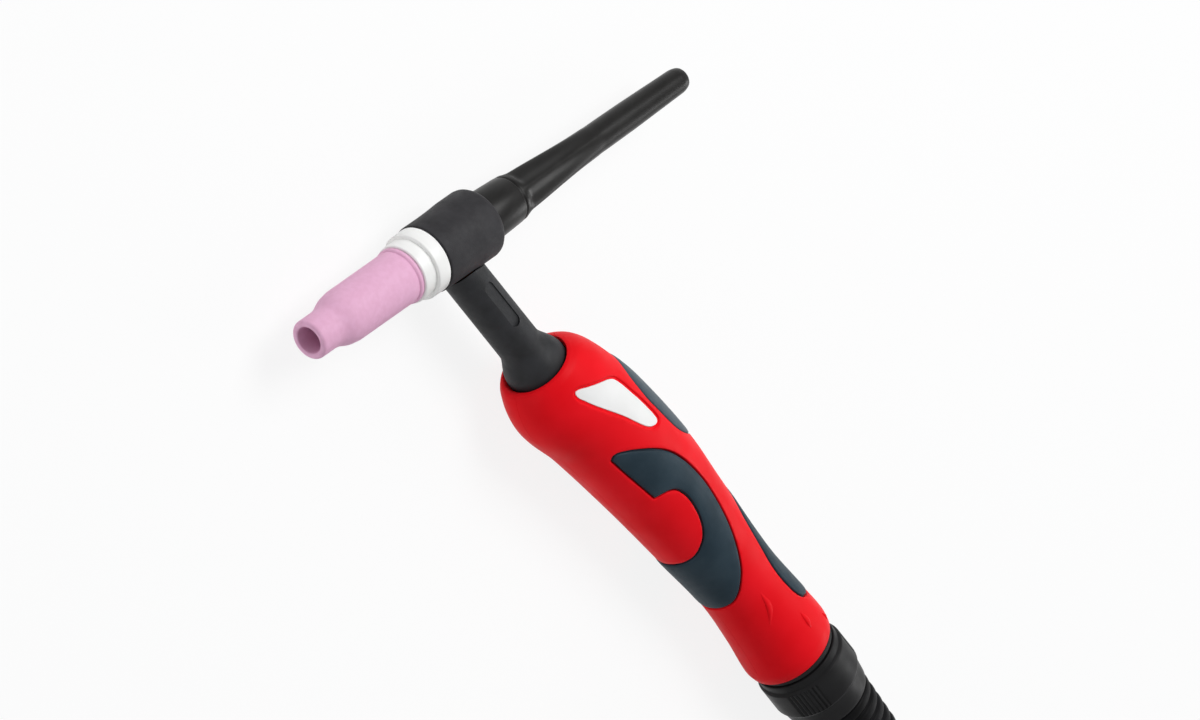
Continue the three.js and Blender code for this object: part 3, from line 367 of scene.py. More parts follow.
def along(points, place):
    """A smooth value through (place, value) pairs."""
    last = len(points) - 1
    i = 0
    while i < last - 1 and points[i + 1][0] < place:
        i += 1

    def slope(k):
        before, after = points[max(k - 1, 0)], points[min(k + 1, last)]
        return (after[1] - before[1]) / (after[0] - before[0])

    span = points[i + 1][0] - points[i][0]
    t = min(max((place - points[i][0]) / span, 0), 1)
    return (
        (2 * t ** 3 - 3 * t ** 2 + 1) * points[i][1] + (t ** 3 - 2 * t ** 2 + t) * span * slope(i)
        + (3 * t ** 2 - 2 * t ** 3) * points[i + 1][1] + (t ** 3 - t ** 2) * span * slope(i + 1)
    )


def flowing(points, closed=False, steps=5):
    """A smooth line through points, with steps between each two."""
    points = [Vector(p) for p in points]
    count = len(points)

    def heading(i):
        here = points[i]
        before = points[(i - 1) % count] if closed or i > 0 else here
        after = points[(i + 1) % count] if closed or i < count - 1 else here
        sides = [side / side.length for side in (here - before, after - here) if side.length]
        return sum(sides, Vector((0,) * len(here))).normalized()

    line = []
    for i in range(count if closed else count - 1):
        start, end = points[i], points[(i + 1) % count]
        third = (end - start).length / 3
        first, second = start + heading(i) * third, end - heading((i + 1) % count) * third
        for k in range(steps):
            t = k / steps
            line.append(
                start * (1 - t) ** 3 + first * 3 * t * (1 - t) ** 2
                + second * 3 * t ** 2 * (1 - t) + end * t ** 3
            )
    if not closed:
        line.append(points[-1])
    return line


def grown(outline, amount):
    """A flat closed outline moved outwards, less at its sharp corners."""
    count = len(outline)
    area = sum(a[0] * b[1] - b[0] * a[1] for a, b in zip(outline, outline[1:] + outline[:1]))
    way = math.copysign(1, area)
    moved = []
    for i, here in enumerate(outline):
        sides = [here - outline[i - 1], outline[(i + 1) % count] - here]
        normals = [Vector((way * s.y, -way * s.x)).normalized() for s in sides]
        middle = normals[0] + normals[1]
        moved.append(here + middle * 2 * amount / max(middle.length_squared, 1))
    return moved


# ---- Cable and control lead -----------------------------------------------------------------

CABLE_ROUTE = [
    (316.3, REAR_OFFSET, 0), (322.3, REAR_OFFSET, 0), (335.8, REAR_OFFSET, -0.6),
    (353.4, COIL_Y + 12.5, -2.8), (369.7, COIL_Y + 19.7, -5.7), (383.4, COIL_Y + 31.2, -8.2),
    (393.5, COIL_Y + 46.3, CABLE_Z),
]
TAIL_ROUTE = [
    (439.9, COIL_Y - 96.9, 6.5), (426, TAIL_Y, 6), (410, TAIL_Y, 3.4), (394, TAIL_Y, -0.6),
    (378, TAIL_Y, -4.2), (364, TAIL_Y, -6.2), (354, TAIL_Y, SPLITTER_Z),
    (339, TAIL_Y, SPLITTER_Z), (324, TAIL_Y, SPLITTER_Z), (312, TAIL_Y, -7.2),
    (298, TAIL_Y, -7.7), (284, TAIL_Y, -7.1), (273, TAIL_Y, -5.2), (263, TAIL_Y, -3),
    (256, TAIL_Y, PLUG_Z), (250, TAIL_Y, PLUG_Z), (244.3, TAIL_Y, PLUG_Z),
]
LEAD_ROUTE = [
    (SPLITTER_FACE + 6, LEAD_Y, LEAD_Z), (SPLITTER_FACE - GAP, LEAD_Y, LEAD_Z),
    (316, LEAD_Y + 0.3, LEAD_Z - 0.3), (302, LEAD_Y + 2, LEAD_Z - 3.4),
    (288, LEAD_Y + 5.4, BENCH + 3.6), (272, LEAD_Y + 10, BENCH + 3.1),
    (256, LEAD_Y + 14, BENCH + 3.5), (242, LEAD_Y + 16, BENCH + 6.6),
    (230, CONTROL_Y, BENCH + 9.4), (220.3, CONTROL_Y, CONTROL_Z),
]
COIL_START = -64.4  # degrees, clockwise from +Y, where the cable meets the outermost turn
COIL_END = 200  # and leaves it in the upper layer
COIL_TURNS = 6
CLIMB = 0.5  # of a turn, from one layer to the other
POINTS_PER_TURN = 60


def coil_route():
    """Inwards in the lower layer, up to the next, and outwards again."""
    route = []
    total = COIL_TURNS + (COIL_END - COIL_START) / 360
    layer = (total - CLIMB) / 2
    count = int(total * POINTS_PER_TURN)
    for i in range(count + 1):
        turns = total * i / count
        inward = min(turns, layer)
        outward = max(turns - layer - CLIMB, 0)
        climb = min(max((turns - layer) / CLIMB, 0), 1)
        radius = COIL_OUT_R - (COIL_OUT_R - COIL_IN_R) * (inward - outward) / layer
        height = CABLE_Z + (UPPER_Z - CABLE_Z) * climb * climb * (3 - 2 * climb)
        turn = math.radians(COIL_START) + 2 * math.pi * turns
        route.append((COIL_X + radius * math.sin(turn), COIL_Y + radius * math.cos(turn), height))
    return [Vector(p) for p in route]


def tube_along(name, route, radius):
    """A round cord along a route, as a curve of one open spline."""
    data = bpy.data.curves.new(name, "CURVE")
    data.dimensions = "3D"
    data.bevel_depth = radius * MM
    data.bevel_resolution = 6
    data.use_fill_caps = True
    spline = data.splines.new("POLY")
    spline.points.add(len(route) - 1)
    for point, place in zip(spline.points, route):
        point.co = (*(TORCH @ Vector(place)), 1)
    spline.use_smooth = True
    data.materials.append(cable_rubber.material)
    made = bpy.data.objects.new(name, data)
    SCENE.collection.objects.link(made)
    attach(made, "cable")
    return made


cable_line = flowing(CABLE_ROUTE, steps=4)[:-1] + coil_route() + flowing(TAIL_ROUTE, steps=4)
lead_line = flowing(LEAD_ROUTE, steps=4)
power_cable = tube_along("power_cable", cable_line, CABLE_R)
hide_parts("cable_run", "cable_coil", "cable_tail")
control_cord = tube_along("control_cord", lead_line, LEAD_R)
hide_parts("control_lead")


# ---- Cable end ------------------------------------------------------------------------------

SPLITTER_LENGTH = 30
SPLITTER_REACH = 20  # from the cable's axis to the side where the lead leaves
SPLITTER_ROUND = 3
LEAD_SINK = 7  # how deep the lead's hole is
LEAD_GAP = 0.1


def splitter_shape():
    """A moulded block that lets the thin lead out beside the cable."""
    half = CABLE_R + SPLITTER_WALL
    front, back = SPLITTER_FACE, SPLITTER_FACE + SPLITTER_LENGTH
    low, high = TAIL_Y - half, TAIL_Y + SPLITTER_REACH
    outline = [
        (front, low), (back, low), (back, TAIL_Y + half), (front + 15, high), (front + 4, high),
        (front, high - 3),
    ]
    bm = block(outline, BENCH + CABLE_REST, BENCH + CABLE_REST + 2 * half)
    bmesh.ops.bevel(
        bm, geom=bm.edges[:], offset=SPLITTER_ROUND, offset_type="OFFSET", segments=4,
        profile=0.5, affect="EDGES", material=-1, clamp_overlap=True,
    )
    middle = Matrix.Translation((0, TAIL_Y, SPLITTER_Z)) @ ALONG_X
    side = Matrix.Translation((0, LEAD_Y, LEAD_Z)) @ ALONG_X
    cable_hole = rod(CABLE_R + GAP, front - 1, back + 1)
    lead_hole = rod(LEAD_R + LEAD_GAP, front - 1, front + LEAD_SINK)
    return combined(bm, [
        turned_in_place(cable_hole, middle, closed=False),
        turned_in_place(lead_hole, side, closed=False),
    ])


def fluted(bm, start, end, count, depth, fade, outside, fade_end=None, sharp=2.0):
    """Flutes along Y in what lies outside a radius, from start to end. They fade out over
    fade millimetres, or over fade_end at their end."""
    for vert in bm.verts:
        radius = math.hypot(vert.co.x, vert.co.z)
        if radius <= outside:
            continue
        near = min((vert.co.y - start) / fade, (end - vert.co.y) / (fade_end or fade), 1)
        if near <= 0:
            continue
        turn = math.atan2(vert.co.z, vert.co.x)
        cut = depth * near * near * (3 - 2 * near) * abs(math.sin(count * turn / 2)) ** sharp
        vert.co.x *= 1 - cut / radius
        vert.co.z *= 1 - cut / radius
    return bm


def rows(start, end, count):
    """Places from start to end, with count steps between them."""
    return [start + (end - start) * i / count for i in range(count + 1)]


PLUG_R = 15
PLUG_NECK_R = 13.4
PLUG_SINK = 6  # how far the cable enters the plug
PIN_R = 6.4
PIN_OUT = 26  # past the plug's face
PIN_SINK = 20
PIN_HOLE_R = 2.2
SOCKET_R = 6.6
SOCKET_SHOULDER_R = 7.2
CONTROL_R = 8
CONTROL_SINK = 2
RING_BORE_R = 7.5
RING_R = 9.4
RING_EDGE_R = 8.9


def plug_shape():
    """The power plug's fluted sleeve."""
    face, end, bore = PLUG_FACE, PLUG_END, PIN_R + GAP
    bm = turned(
        [(bore, face), (PLUG_NECK_R, face, 0.8), (PLUG_NECK_R, face + 12, 0.6)]
        + [(PLUG_R, face + 14, 0.8)] + [(PLUG_R, y) for y in rows(face + 17, face + 38, 14)]
        + [(PLUG_R, face + 43, 2), (12.4, face + 50, 3), (10.5, end, 1)]
        + [(CABLE_R + GAP, end, 0.5), (CABLE_R + GAP, end - PLUG_SINK), (bore, end - PLUG_SINK)],
        steps=144,
    )
    return fluted(bm, face + 15, face + 41, count=18, depth=0.9, fade=3, outside=PLUG_NECK_R)


def pin_shape():
    """The power plug's pin, with a groove and a hole for the gas."""
    tip, groove, back = PLUG_FACE - PIN_OUT, PIN_R - 1, PLUG_FACE + PIN_SINK
    bm = turned(
        [(0, tip), (PIN_R - 1.4, tip, 0.6), (PIN_R, tip + 1.6, 0.8), (PIN_R, tip + 17, 0.2)]
        + [(groove, tip + 17.6), (groove, tip + 19.4), (PIN_R, tip + 20, 0.2), (PIN_R, back)]
        + [(0, back)],
        closed=False,
    )
    return combined(bm, [turned(rod(PIN_HOLE_R, tip - 1, tip + 9), closed=False)])


def control_plug_shape():
    face, end = CONTROL_FACE, CONTROL_END
    return turned(
        [(0, face + 1.2), (5.2, face + 1.2), (5.2, face), (SOCKET_R, face, 0.3)]
        + [(SOCKET_R, face + 3), (SOCKET_SHOULDER_R, face + 3), (SOCKET_SHOULDER_R, face + 14)]
        + [(CONTROL_R, face + 14, 0.4), (CONTROL_R, end - 9, 2), (LEAD_R + 2, end, 0.6)]
        + [(LEAD_R + GAP, end), (LEAD_R + GAP, end - CONTROL_SINK), (0, end - CONTROL_SINK)],
        closed=False,
    )


def plug_ring_shape():
    """The knurled ring that turns on the control plug."""
    face = CONTROL_FACE
    bm = turned(
        [(RING_BORE_R, face + 3.3), (RING_EDGE_R, face + 3.3, 0.3), (RING_R, face + 4.3, 0.3)]
        + [(RING_R, y) for y in rows(face + 5, face + 12, 6)] + [(RING_R, face + 13.2, 0.3)]
        + [(RING_EDGE_R, face + 13.7, 0.3), (RING_BORE_R, face + 13.7)],
        steps=144,
    )
    return fluted(bm, face + 4.4, face + 12.6, count=36, depth=0.35, fade=0.6, outside=9)


plug_axis = TORCH @ Matrix.Translation((0, TAIL_Y, PLUG_Z)) @ ALONG_X
control_axis = TORCH @ Matrix.Translation((0, CONTROL_Y, CONTROL_Z)) @ ALONG_X
finished(
    "power_plug_body", plug_shape(), plug_axis, plug_rubber, "cable",
    ["power_plug"],
)
finished(
    "power_plug_contact", pin_shape(), plug_axis, plug_brass, "cable",
    ["power_plug_pin"],
)
finished(
    "cable_splitter_block", splitter_shape(), TORCH, plug_rubber, "cable",
    ["cable_splitter"],
)
finished(
    "control_plug_body", control_plug_shape(), control_axis, inner_plastic, "cable",
    ["control_plug"],
)
finished(
    "control_plug_nut", plug_ring_shape(), control_axis, steel, "ring_body",
    ["control_plug_ring"],
)


# ---- Head -----------------------------------------------------------------------------------

# Radii, and distances along the head's axis from the neck's: the cup's end is negative
CUP_TIP = -67.6
CUP_TIP_R = 6.95
CUP_MOUTH_R = 4.75
CUP_NECK_END = -59.6
CUP_SHOULDER_END = -49.6
CUP_BORE_R = 6.8
CUP_BASE = -20.6
GASKET_FRONT = CUP_BASE + GAP
GASKET_STEP = -15
GASKET_BACK = -9.4
GASKET_R = 11.8
GASKET_NOSE_R = 10.5
HEAD_FRONT = -9.1
HEAD_END = 18.8
HEAD_R = 12.15
HEAD_SWELL = 0.3  # how much thicker the head is at its back
CORE_FRONT = -8.5
CORE_BACK = 17.5
CORE_R = 8.6
CORE_BORE_R = 5.6
CAP_BASE = 19.1
CAP_END = 124.1
CAP_THREAD_R = 6.2
CAP_NOSE = 6.5
CAP_BORE_R = 2
CAP_TAPER_START = 35.6
CAP_TAPER_END = 76
ELECTRODE_R = 1.2
ELECTRODE_TIP = -60.6
ELECTRODE_BACK = ELECTRODE_TIP + 150
GAS_HOLE_R = 0.9
NECK_BORE_R = 4.3
THREAD_STEP = 0.5  # half a thread's pitch


def thread(first, second, start, count, step=THREAD_STEP):
    """Points along a ringed thread, where two radii take turns."""
    return [(second if i % 2 else first, start + step * i) for i in range(count)]


def cup_shape():
    """A ceramic cup with a narrow nose, a smooth shoulder and a groove before its base."""
    shoulder = flowing(
        [(CUP_TIP_R, CUP_NECK_END), (7.35, -57.4), (8.8, -53.4), (9.4, CUP_SHOULDER_END)], steps=5,
    )
    return turned(
        [(CUP_MOUTH_R, CUP_TIP, 0.6), (CUP_TIP_R, CUP_TIP, 1.1)] + [tuple(p) for p in shoulder]
        + [(9.42, -27), (9.5, -23), (9.3, -22.4), (9.9, -21.9, 0.3), (9.95, CUP_BASE, 0.4)]
        + [(CUP_BORE_R, CUP_BASE, 0.3), (CUP_BORE_R, CUP_SHOULDER_END, 1)]
        + [(CUP_MOUTH_R, CUP_NECK_END, 3)],
        steps=128,
    )


def gasket_shape():
    return turned(
        [(CORE_BORE_R, GASKET_FRONT), (GASKET_NOSE_R, GASKET_FRONT, 0.5)]
        + [(GASKET_NOSE_R, GASKET_STEP), (GASKET_R, GASKET_STEP, 0.5)]
        + [(GASKET_R, GASKET_BACK, 0.3), (CORE_BORE_R, GASKET_BACK)],
    )


def collet_body_shape():
    """The brass body in the cup, with four gas holes and the cup's thread."""
    bm = turned(
        [(1.5, -51.6), (3.5, -51.6, 0.3), (4.6, -47.6, 0.5), (4.6, -33.6)]
        + thread(6.5, 6.1, -33.3, 26)
        + [(5.3, GASKET_FRONT), (5.3, 5.5), (2.7, 5.5), (2.7, -47.6)],
    )
    middle = Matrix.Translation((0, -39, 0))
    return combined(bm, [
        turned_in_place(rod(GAS_HOLE_R, -9, 9), middle @ turn, 24, closed=False)
        for turn in (ALONG_X, ALONG_Z)
    ])


def electrode_shape():
    """A rod ground to a point."""
    radius, tip, back = ELECTRODE_R, ELECTRODE_TIP, ELECTRODE_BACK
    return turned(
        [(0, tip), (0.25, tip + 0.2, 0.1), (radius, tip + 5, 0.6), (radius, back - 0.2, 0.1)]
        + [(radius - 0.2, back), (0, back)],
        steps=48, closed=False,
    )


def head_cover_shape():
    """The moulded head, a little thicker at its back, with a hole for the neck's tube."""
    back_r = HEAD_R + HEAD_SWELL
    bm = turned(
        [(8.9, HEAD_FRONT), (HEAD_R, HEAD_FRONT, 0.5), (HEAD_R - 0.05, -2)]
        + [(HEAD_R + 0.05, 5, 3), (back_r, 8.2, 3), (back_r, HEAD_END, 2.6)]
        + [(9.5, HEAD_END, 0.4), (8.9, HEAD_END)],
        steps=128,
    )
    neck_way = Matrix.Rotation(math.radians(HEAD_LEAN), 4, "Z") @ ALONG_X
    return combined(bm, [turned_in_place(rod(NECK_BORE_R, 0, 40), neck_way, 64, closed=False)])


def cap_shape():
    """A long cap with a threaded nose, a groove behind its base and a fluted taper."""
    taper = [(8.2, CAP_TAPER_START), (7.7, 44), (6.75, 56), (5.9, 67), (5.35, CAP_TAPER_END)]
    bm = turned(
        [(CAP_BORE_R, CAP_NOSE), (5.6, CAP_NOSE)] + thread(5.9, CAP_THREAD_R, 6.9, 16)
        + [(5.9, 14.9), (5.9, 15.6), (CAP_THREAD_R, 16), (CAP_THREAD_R, 17.8), (8.6, 17.8)]
        + [(8.6, CAP_BASE), (9.1, CAP_BASE, 0.4), (8.4, 33.5, 0.15), (8.05, 33.8, 0.1)]
        + [(8.05, 34.3, 0.1), (8.25, 34.6, 0.15)] + [tuple(p) for p in flowing(taper, steps=9)]
        + [(5.2 - 0.02 * i, CAP_TAPER_END + 1.5 * (i + 1)) for i in range(7)]
        + [(5.0, 95), (4.5, 116), (4.4, 121.2, 1), (3.6, CAP_END, 1.2), (0, CAP_END)]
        + [(0, CAP_END - 4), (CAP_BORE_R, CAP_END - 6)],
        steps=144,
    )
    return fluted(
        bm, CAP_TAPER_START, CAP_TAPER_END + 9, count=6, depth=1.2, fade=2.5, outside=4.9,
        fade_end=46, sharp=1.5,
    )


def core_shape():
    """The brass tube in the head, with the cap's thread and a seat for its seal."""
    return turned(
        [(CORE_BORE_R, CORE_FRONT), (CORE_R, CORE_FRONT, 0.3), (CORE_R, CORE_BACK, 0.1)]
        + [(CORE_R - 0.3, CORE_BACK, 0.1), (CORE_R - 0.3, 15.5), (6.8, 15.5)]
        + thread(6.8, 6.5, 15, 17, -THREAD_STEP) + [(6.8, 6.2), (CORE_BORE_R, 5.8)],
    )


def seal_shape():
    turns = rows(0, 2 * math.pi, 16)[:-1]
    return turned([(7.25 + 0.75 * math.cos(t), 16.5 + 0.75 * math.sin(t)) for t in turns])


finished("ceramic_cup", cup_shape(), HEAD, alumina, "cup_body", ["gas_cup"])
finished(
    "heat_shield_gasket", gasket_shape(), HEAD, insulator, "torch_body",
    ["cup_gasket"],
)
finished(
    "gas_lens_body", collet_body_shape(), HEAD, brass, "torch_body", ["collet_body"],
)
finished(
    "ground_electrode", electrode_shape(), HEAD, tungsten, "electrode_body",
    ["tungsten_electrode"],
)
finished(
    "head_jacket", head_cover_shape(), HEAD, head_rubber, "torch_body",
    ["head_cover"],
)
finished("long_back_cap", cap_shape(), HEAD, cap_plastic, "cap_body", ["back_cap"])
finished("head_core", core_shape(), HEAD, brass, "torch_body", ["head_body"])
finished(
    "cap_o_ring", seal_shape(), HEAD, seal_rubber, "cap_seal_body",
    ["back_cap_seal"],
)


# ---- Neck -----------------------------------------------------------------------------------

NECK_R = 7.5
NECK_FRONT = 4  # inside the head
NECK_HEAD_GAP = 0.6
FLARE_LENGTH = 11
FLARE_START = NECK_LENGTH - FLARE_LENGTH
FLARE_WIDENS = 3.4
FLARE_R = NECK_R + FLARE_WIDENS
FLARE_BACK = NECK_LENGTH + 9
NECK_TAIL_R = 8
NECK_BACK = 84
PANEL_R = 2.1  # half the width of the sunk panel on each side
PANEL_ENDS = (20.5, 37.3)
PANEL_FLOOR = 6.85  # from the neck's axis


def neck_shape():
    """A rubber sleeve with a flared end, cut to the head and sunk on both sides."""
    flare = [
        (NECK_R + FLARE_WIDENS * (3 * t * t - 2 * t ** 3), FLARE_START + t * FLARE_LENGTH)
        for t in rows(0, 1, 10)
    ]
    bm = turned_in_place(
        [(NECK_BORE_R, NECK_FRONT), (NECK_R, NECK_FRONT)] + flare
        + [(FLARE_R, FLARE_BACK), (NECK_TAIL_R, FLARE_BACK), (NECK_TAIL_R, NECK_BACK)]
        + [(NECK_BORE_R, NECK_BACK)],
        ALONG_X, 112,
    )
    lean = Matrix.Rotation(math.radians(-HEAD_LEAN), 4, "Z")
    head_space = rod(HEAD_R + NECK_HEAD_GAP, -40, 40)
    cuts = [turned_in_place(head_space, lean, 128, closed=False)]
    front, back = PANEL_ENDS
    panel = [
        (x + PANEL_R * way * math.sin(t), PANEL_R * way * math.cos(t))
        for x, way in ((back, 1), (front, -1)) for t in rows(0, math.pi, 12)
    ]
    for side in (1, -1):
        low, high = sorted((side * PANEL_FLOOR, side * 9))
        cuts.append(block(panel, low, high))
    return combined(bm, cuts)


finished(
    "neck_sleeve", neck_shape(), TORCH, neck_rubber, "torch_body", ["neck_cover"],
)


# ---- Handle ---------------------------------------------------------------------------------

# Distance below the neck's axis, above it, and half the width, along the handle
BELLY = [
    (0, 13.6), (3, 15.7), (8, 17.7), (15, 18.7), (22, 17.9), (34, 15), (64, 11.1), (98, 7.9),
    (124, 5.6), (144, 6.6), (157, 8.1), (161, 7.5),
]
BACK = [
    (0, 12.4), (2, 14.8), (5, 17.3), (10, 19.6), (20, 22.3), (34, 24.9), (67, 27), (88, 25.8),
    (124, 23.6), (143, 24.3), (156, 24.9), (161, 24.1),
]
FLANK = [
    (0, 12.4), (3, 14.3), (14, 16.7), (28, 17.4), (55, 17), (90, 15.1), (121, 13.8), (140, 14.6),
    (156, 15.8), (161, 15.2),
]
REACH = 16.0  # millimetres round the handle for each radian
BELLY_LINE = math.pi * REACH  # the way round from the back to the belly
LONGEST_KNOT = 24  # points in a loop that crosses itself
HANDLE_WALL = 3.2
FRONT_BLOCK = 26  # solid, round the neck
REAR_BLOCK = 34  # solid, round the swivel
SHELL_GAP = 0.06  # between the two shells

# The cable's swivel, which the handle's rear end holds by its flange
SWIVEL_R = 11.5
SWIVEL_BORE_R = 8.6
SWIVEL_FRONT = HANDLE_BACK - 21
SWIVEL_BACK = HANDLE_BACK + 4
SWIVEL_FLANGE_R = 13
SWIVEL_FLANGE = (204, 207)


def middle_and_half(place):
    """The handle's middle and half its depth, at a place along it."""
    low, high = -along(BELLY, place), along(BACK, place)
    return (low + high) / 2, (high - low) / 2


def bent(bm):
    """Bends a flat shape round the handle: X is the place along it, Y the way round from its
    back, and Z the height over its surface."""
    for vert in bm.verts:
        place, reach, lift = vert.co
        middle, half = middle_and_half(place)
        turn = reach / REACH
        vert.co = (
            NECK_LENGTH + place,
            middle + (half + lift) * math.cos(turn),
            (along(FLANK, place) + lift) * math.sin(turn),
        )
    return bm


def handle_form(lift=0.0, start=0.0, end=HANDLE_LENGTH, length_rows=150, sides=120, edge=0.0):
    """The handle's closed form; edge rounds its two ends."""
    bm = bmesh.new()
    bmesh.ops.create_grid(bm, x_segments=length_rows, y_segments=sides, size=1)
    for vert in bm.verts:
        place = start + (end - start) * (1 - math.cos(math.pi * (vert.co.x + 1) / 2)) / 2
        near = min(place - start, end - place)
        round_off = edge - math.sqrt(max(edge ** 2 - (edge - near) ** 2, 0)) if near < edge else 0
        vert.co = (place, vert.co.y * math.pi * REACH, lift - round_off)
    bent(bm)
    bmesh.ops.remove_doubles(bm, verts=bm.verts, dist=1e-3)
    bmesh.ops.holes_fill(bm, edges=[e for e in bm.edges if e.is_boundary], sides=0)
    bmesh.ops.recalc_face_normals(bm, faces=bm.faces)
    return bm


def crossing(first, first_end, second, second_end):
    """Where two flat sides cross, or None."""
    way, other = first_end - first, second_end - second
    turn = way.cross(other)
    if not turn:
        return None
    share = (second - first).cross(other) / turn
    other_share = (second - first).cross(way) / turn
    return first + way * share if 0 < share < 1 and 0 < other_share < 1 else None


def untangled(loop):
    """A flat closed loop with each small knot drawn together where its sides cross."""
    count = len(loop)
    for i in range(count):
        for j in range(i + 2, i + LONGEST_KNOT):
            met = crossing(loop[i], loop[(i + 1) % count], loop[j % count], loop[(j + 1) % count])
            if met:
                for k in range(i + 1, j + 1):
                    loop[k % count] = met
    return loop


def layers(outline, section):
    """A flat outline grown by each offset of the section, at each height."""
    return [
        [Vector((*p, height)) for p in untangled(grown(outline, offset))]
        for offset, height in section
    ]


def pad(loops, step=1.6):
    """A closed pad bent onto the handle, from flat loops with the lowest first. Faces longer
    than step are cut, so that they follow the bend."""
    bm = bmesh.new()
    rims = []
    for loop in loops:
        corners = {tuple(p): None for p in loop}
        for p in corners:
            corners[p] = bm.verts.new(p)
        rims.append([corners[tuple(p)] for p in loop])
    for lower, upper in zip(rims, rims[1:]):
        for i in range(len(lower)):
            ring = dict.fromkeys([lower[i - 1], lower[i], upper[i], upper[i - 1]])
            if len(ring) > 2:
                bm.faces.new(list(ring))
    caps = [bm.faces.new(list(dict.fromkeys(rim))) for rim in (rims[0], rims[-1])]
    bm.normal_update()
    bmesh.ops.triangulate(bm, faces=caps)
    for normal in (Vector((1, 0, 0)), Vector((0, 1, 0))):
        places = [v.co.dot(normal) for v in bm.verts]
        low, high = min(places), max(places)
        for i in range(1, int((high - low) / step) + 1):
            bmesh.ops.bisect_plane(
                bm, geom=bm.verts[:] + bm.edges[:] + bm.faces[:], dist=1e-4,
                plane_co=normal * (low + i * step), plane_no=normal,
            )
    bmesh.ops.triangulate(bm, faces=[f for f in bm.faces if len(f.verts) > 4])
    return bent(bm)


def outline_at(start, points, side=1):
    """Flat points from a place along the handle, on its left side (1) or its right (-1)."""
    return [Vector((start + x, side * y)) for x, y in points]


def both_sides(start, half):
    """A closed outline across the handle's back from the points of its left half."""
    first, *sides, last = half
    points = [first, *sides, last, *[(x, -y) for x, y in reversed(sides)]]
    return outline_at(start, flowing(points, closed=True, steps=4))


# Outlines on the handle: millimetres along it, and the way round from its back
GRIP_AT = 39.6
GRIP_ARCH = [
    (-0.1, 37.2), (-1.2, 35.7), (0.6, 33.1), (5.2, 29.5), (11, 26), (16.6, 23.7), (22.9, 22.2),
    (29.8, 21.4), (37.5, 20.9), (44.9, 21.2), (51.7, 22.2), (58, 23.7), (63.2, 25.5),
    (68.1, 27.7), (72.6, 30.3), (75.9, 33), (79.1, 36.2), (81.4, 39.8), (82.3, 43.4), (82.5, 47),
    (82.5, BELLY_LINE), (82.5, BELLY_LINE + 4),
]
GRIP_UNDER = [
    (56.5, BELLY_LINE + 4), (56.5, BELLY_LINE), (56.6, 46.6), (56.5, 43.8), (56.2, 41),
    (55.3, 38.1), (53.5, 35.3), (51.3, 32.9), (47.7, 30.7), (43.9, 29.4), (40.1, 28.7),
    (34.7, 28.4), (30.5, 28.9), (27.4, 30), (25.6, 31.9), (24.7, 34), (24.1, 36.1),
]
GRIP_HEEL = [(24.1, 36.1), (16.8, 36.6), (7.4, 37.1), (-0.1, 37.2)]
PAD_AT = HANDLE_LENGTH - 65
PAD_HALF = [
    (-4.8, 0), (-3.7, 4.4), (-0.2, 8.8), (5.2, 12.7), (12.3, 14.7), (18.3, 16), (25.4, 17.7),
    (32, 18.6), (38.1, 18.6), (43, 17.9), (46.2, 16.4), (48.6, 13.4), (50.5, 8.8), (51.5, 4.2),
    (51.8, 0),
]
LABEL_AT = 8.8
LABEL = [
    (-0.5, 29.2), (-0.2, 28), (1.6, 25.9), (5.3, 22.1), (8.2, 19.3), (10.2, 18.1), (12.6, 17.7),
    (20.9, 18.1), (30, 18.2), (34, 18.4), (35.6, 18.9), (35.8, 20), (34.8, 21.5), (32.8, 22.9),
    (26.6, 24.6), (19.9, 25.8), (14.4, 26.8), (4.6, 28.9), (1.1, 29.7),
]
TRIGGER_AT = 19.5
TRIGGER_HALF = [
    (2, 0), (2.5, 5), (3.8, 9), (6.6, 12.1), (11, 14), (16.5, 15.1), (24, 15.3), (31.7, 15.1),
    (37, 14.4), (41.5, 12.6), (45.5, 9.6), (49, 5.2), (50.8, 0),
]


def grip_outline(side):
    """A hook that runs from its tip over the side and under the belly."""
    arch, under, heel = [flowing(part, steps=4) for part in (GRIP_ARCH, GRIP_UNDER, GRIP_HEEL)]
    return outline_at(GRIP_AT, arch + under[:-1] + heel[:-1], side)


def label_outline(side):
    return outline_at(LABEL_AT, flowing(LABEL, closed=True, steps=4), side)


# Edges of the inlays, from the lowest point: how far past the outline, and the height over the
# handle's surface
GRIP_SECTION = [
    (0.3, -1.8), (0.3, -0.9), (0, -0.8), (0, -0.35), (-0.12, -0.08), (-0.4, 0.1), (-1.1, 0.22),
    (-2.4, 0.28),
]
TRIGGER_SECTION = [(0, -3), (0, -0.4), (-0.15, -0.08), (-0.45, 0.12), (-1.2, 0.25), (-2.5, 0.32)]
LABEL_SECTION = [(0, -1.1), (0, -0.5), (-0.12, -0.4)]
GRIP_LINE = 0.6  # the open line round a grip
GRIP_DEPTH = 2.1
LABEL_LINE = 0.8  # the shallow groove round the label
LABEL_LINE_DEPTH = 0.6
LABEL_GAP = 0.1
LABEL_DEPTH = 1.15


def pocket(outline, width, depth):
    """The space of an inlay with an open line round it, and a softened upper edge."""
    section = [
        (width, -depth), (width, -0.35), (width + 0.1, -0.12), (width + 0.35, 0.06),
        (width + 0.5, 1.2),
    ]
    return pad(layers(outline, section), step=2.2)


# Raised marks near the handle's rear end, each with its width
MARKS = [
    ([(153.7, 14.8), (155.9, 14.5), (157.8, 14)], 1.8),
    ([(143.3, 23.3), (146.3, 24), (148.5, 24.2), (150.4, 24)], 2.2),
    ([(125.3, 30.4), (128.9, 31.4), (131.8, 32.4), (134.5, 33.6), (137.2, 35)], 2.6),
]
RIGHT_MARKS = MARKS[:2]  # a screw is in the place of the third
# A mark's height, and how far its steep and its soft side lie in, as shares of its width
MARK_SECTION = [(-0.8, 0, 1), (0, 0, 1), (0.28, 0.08, 0.75), (0.45, 0.22, 0.5)]


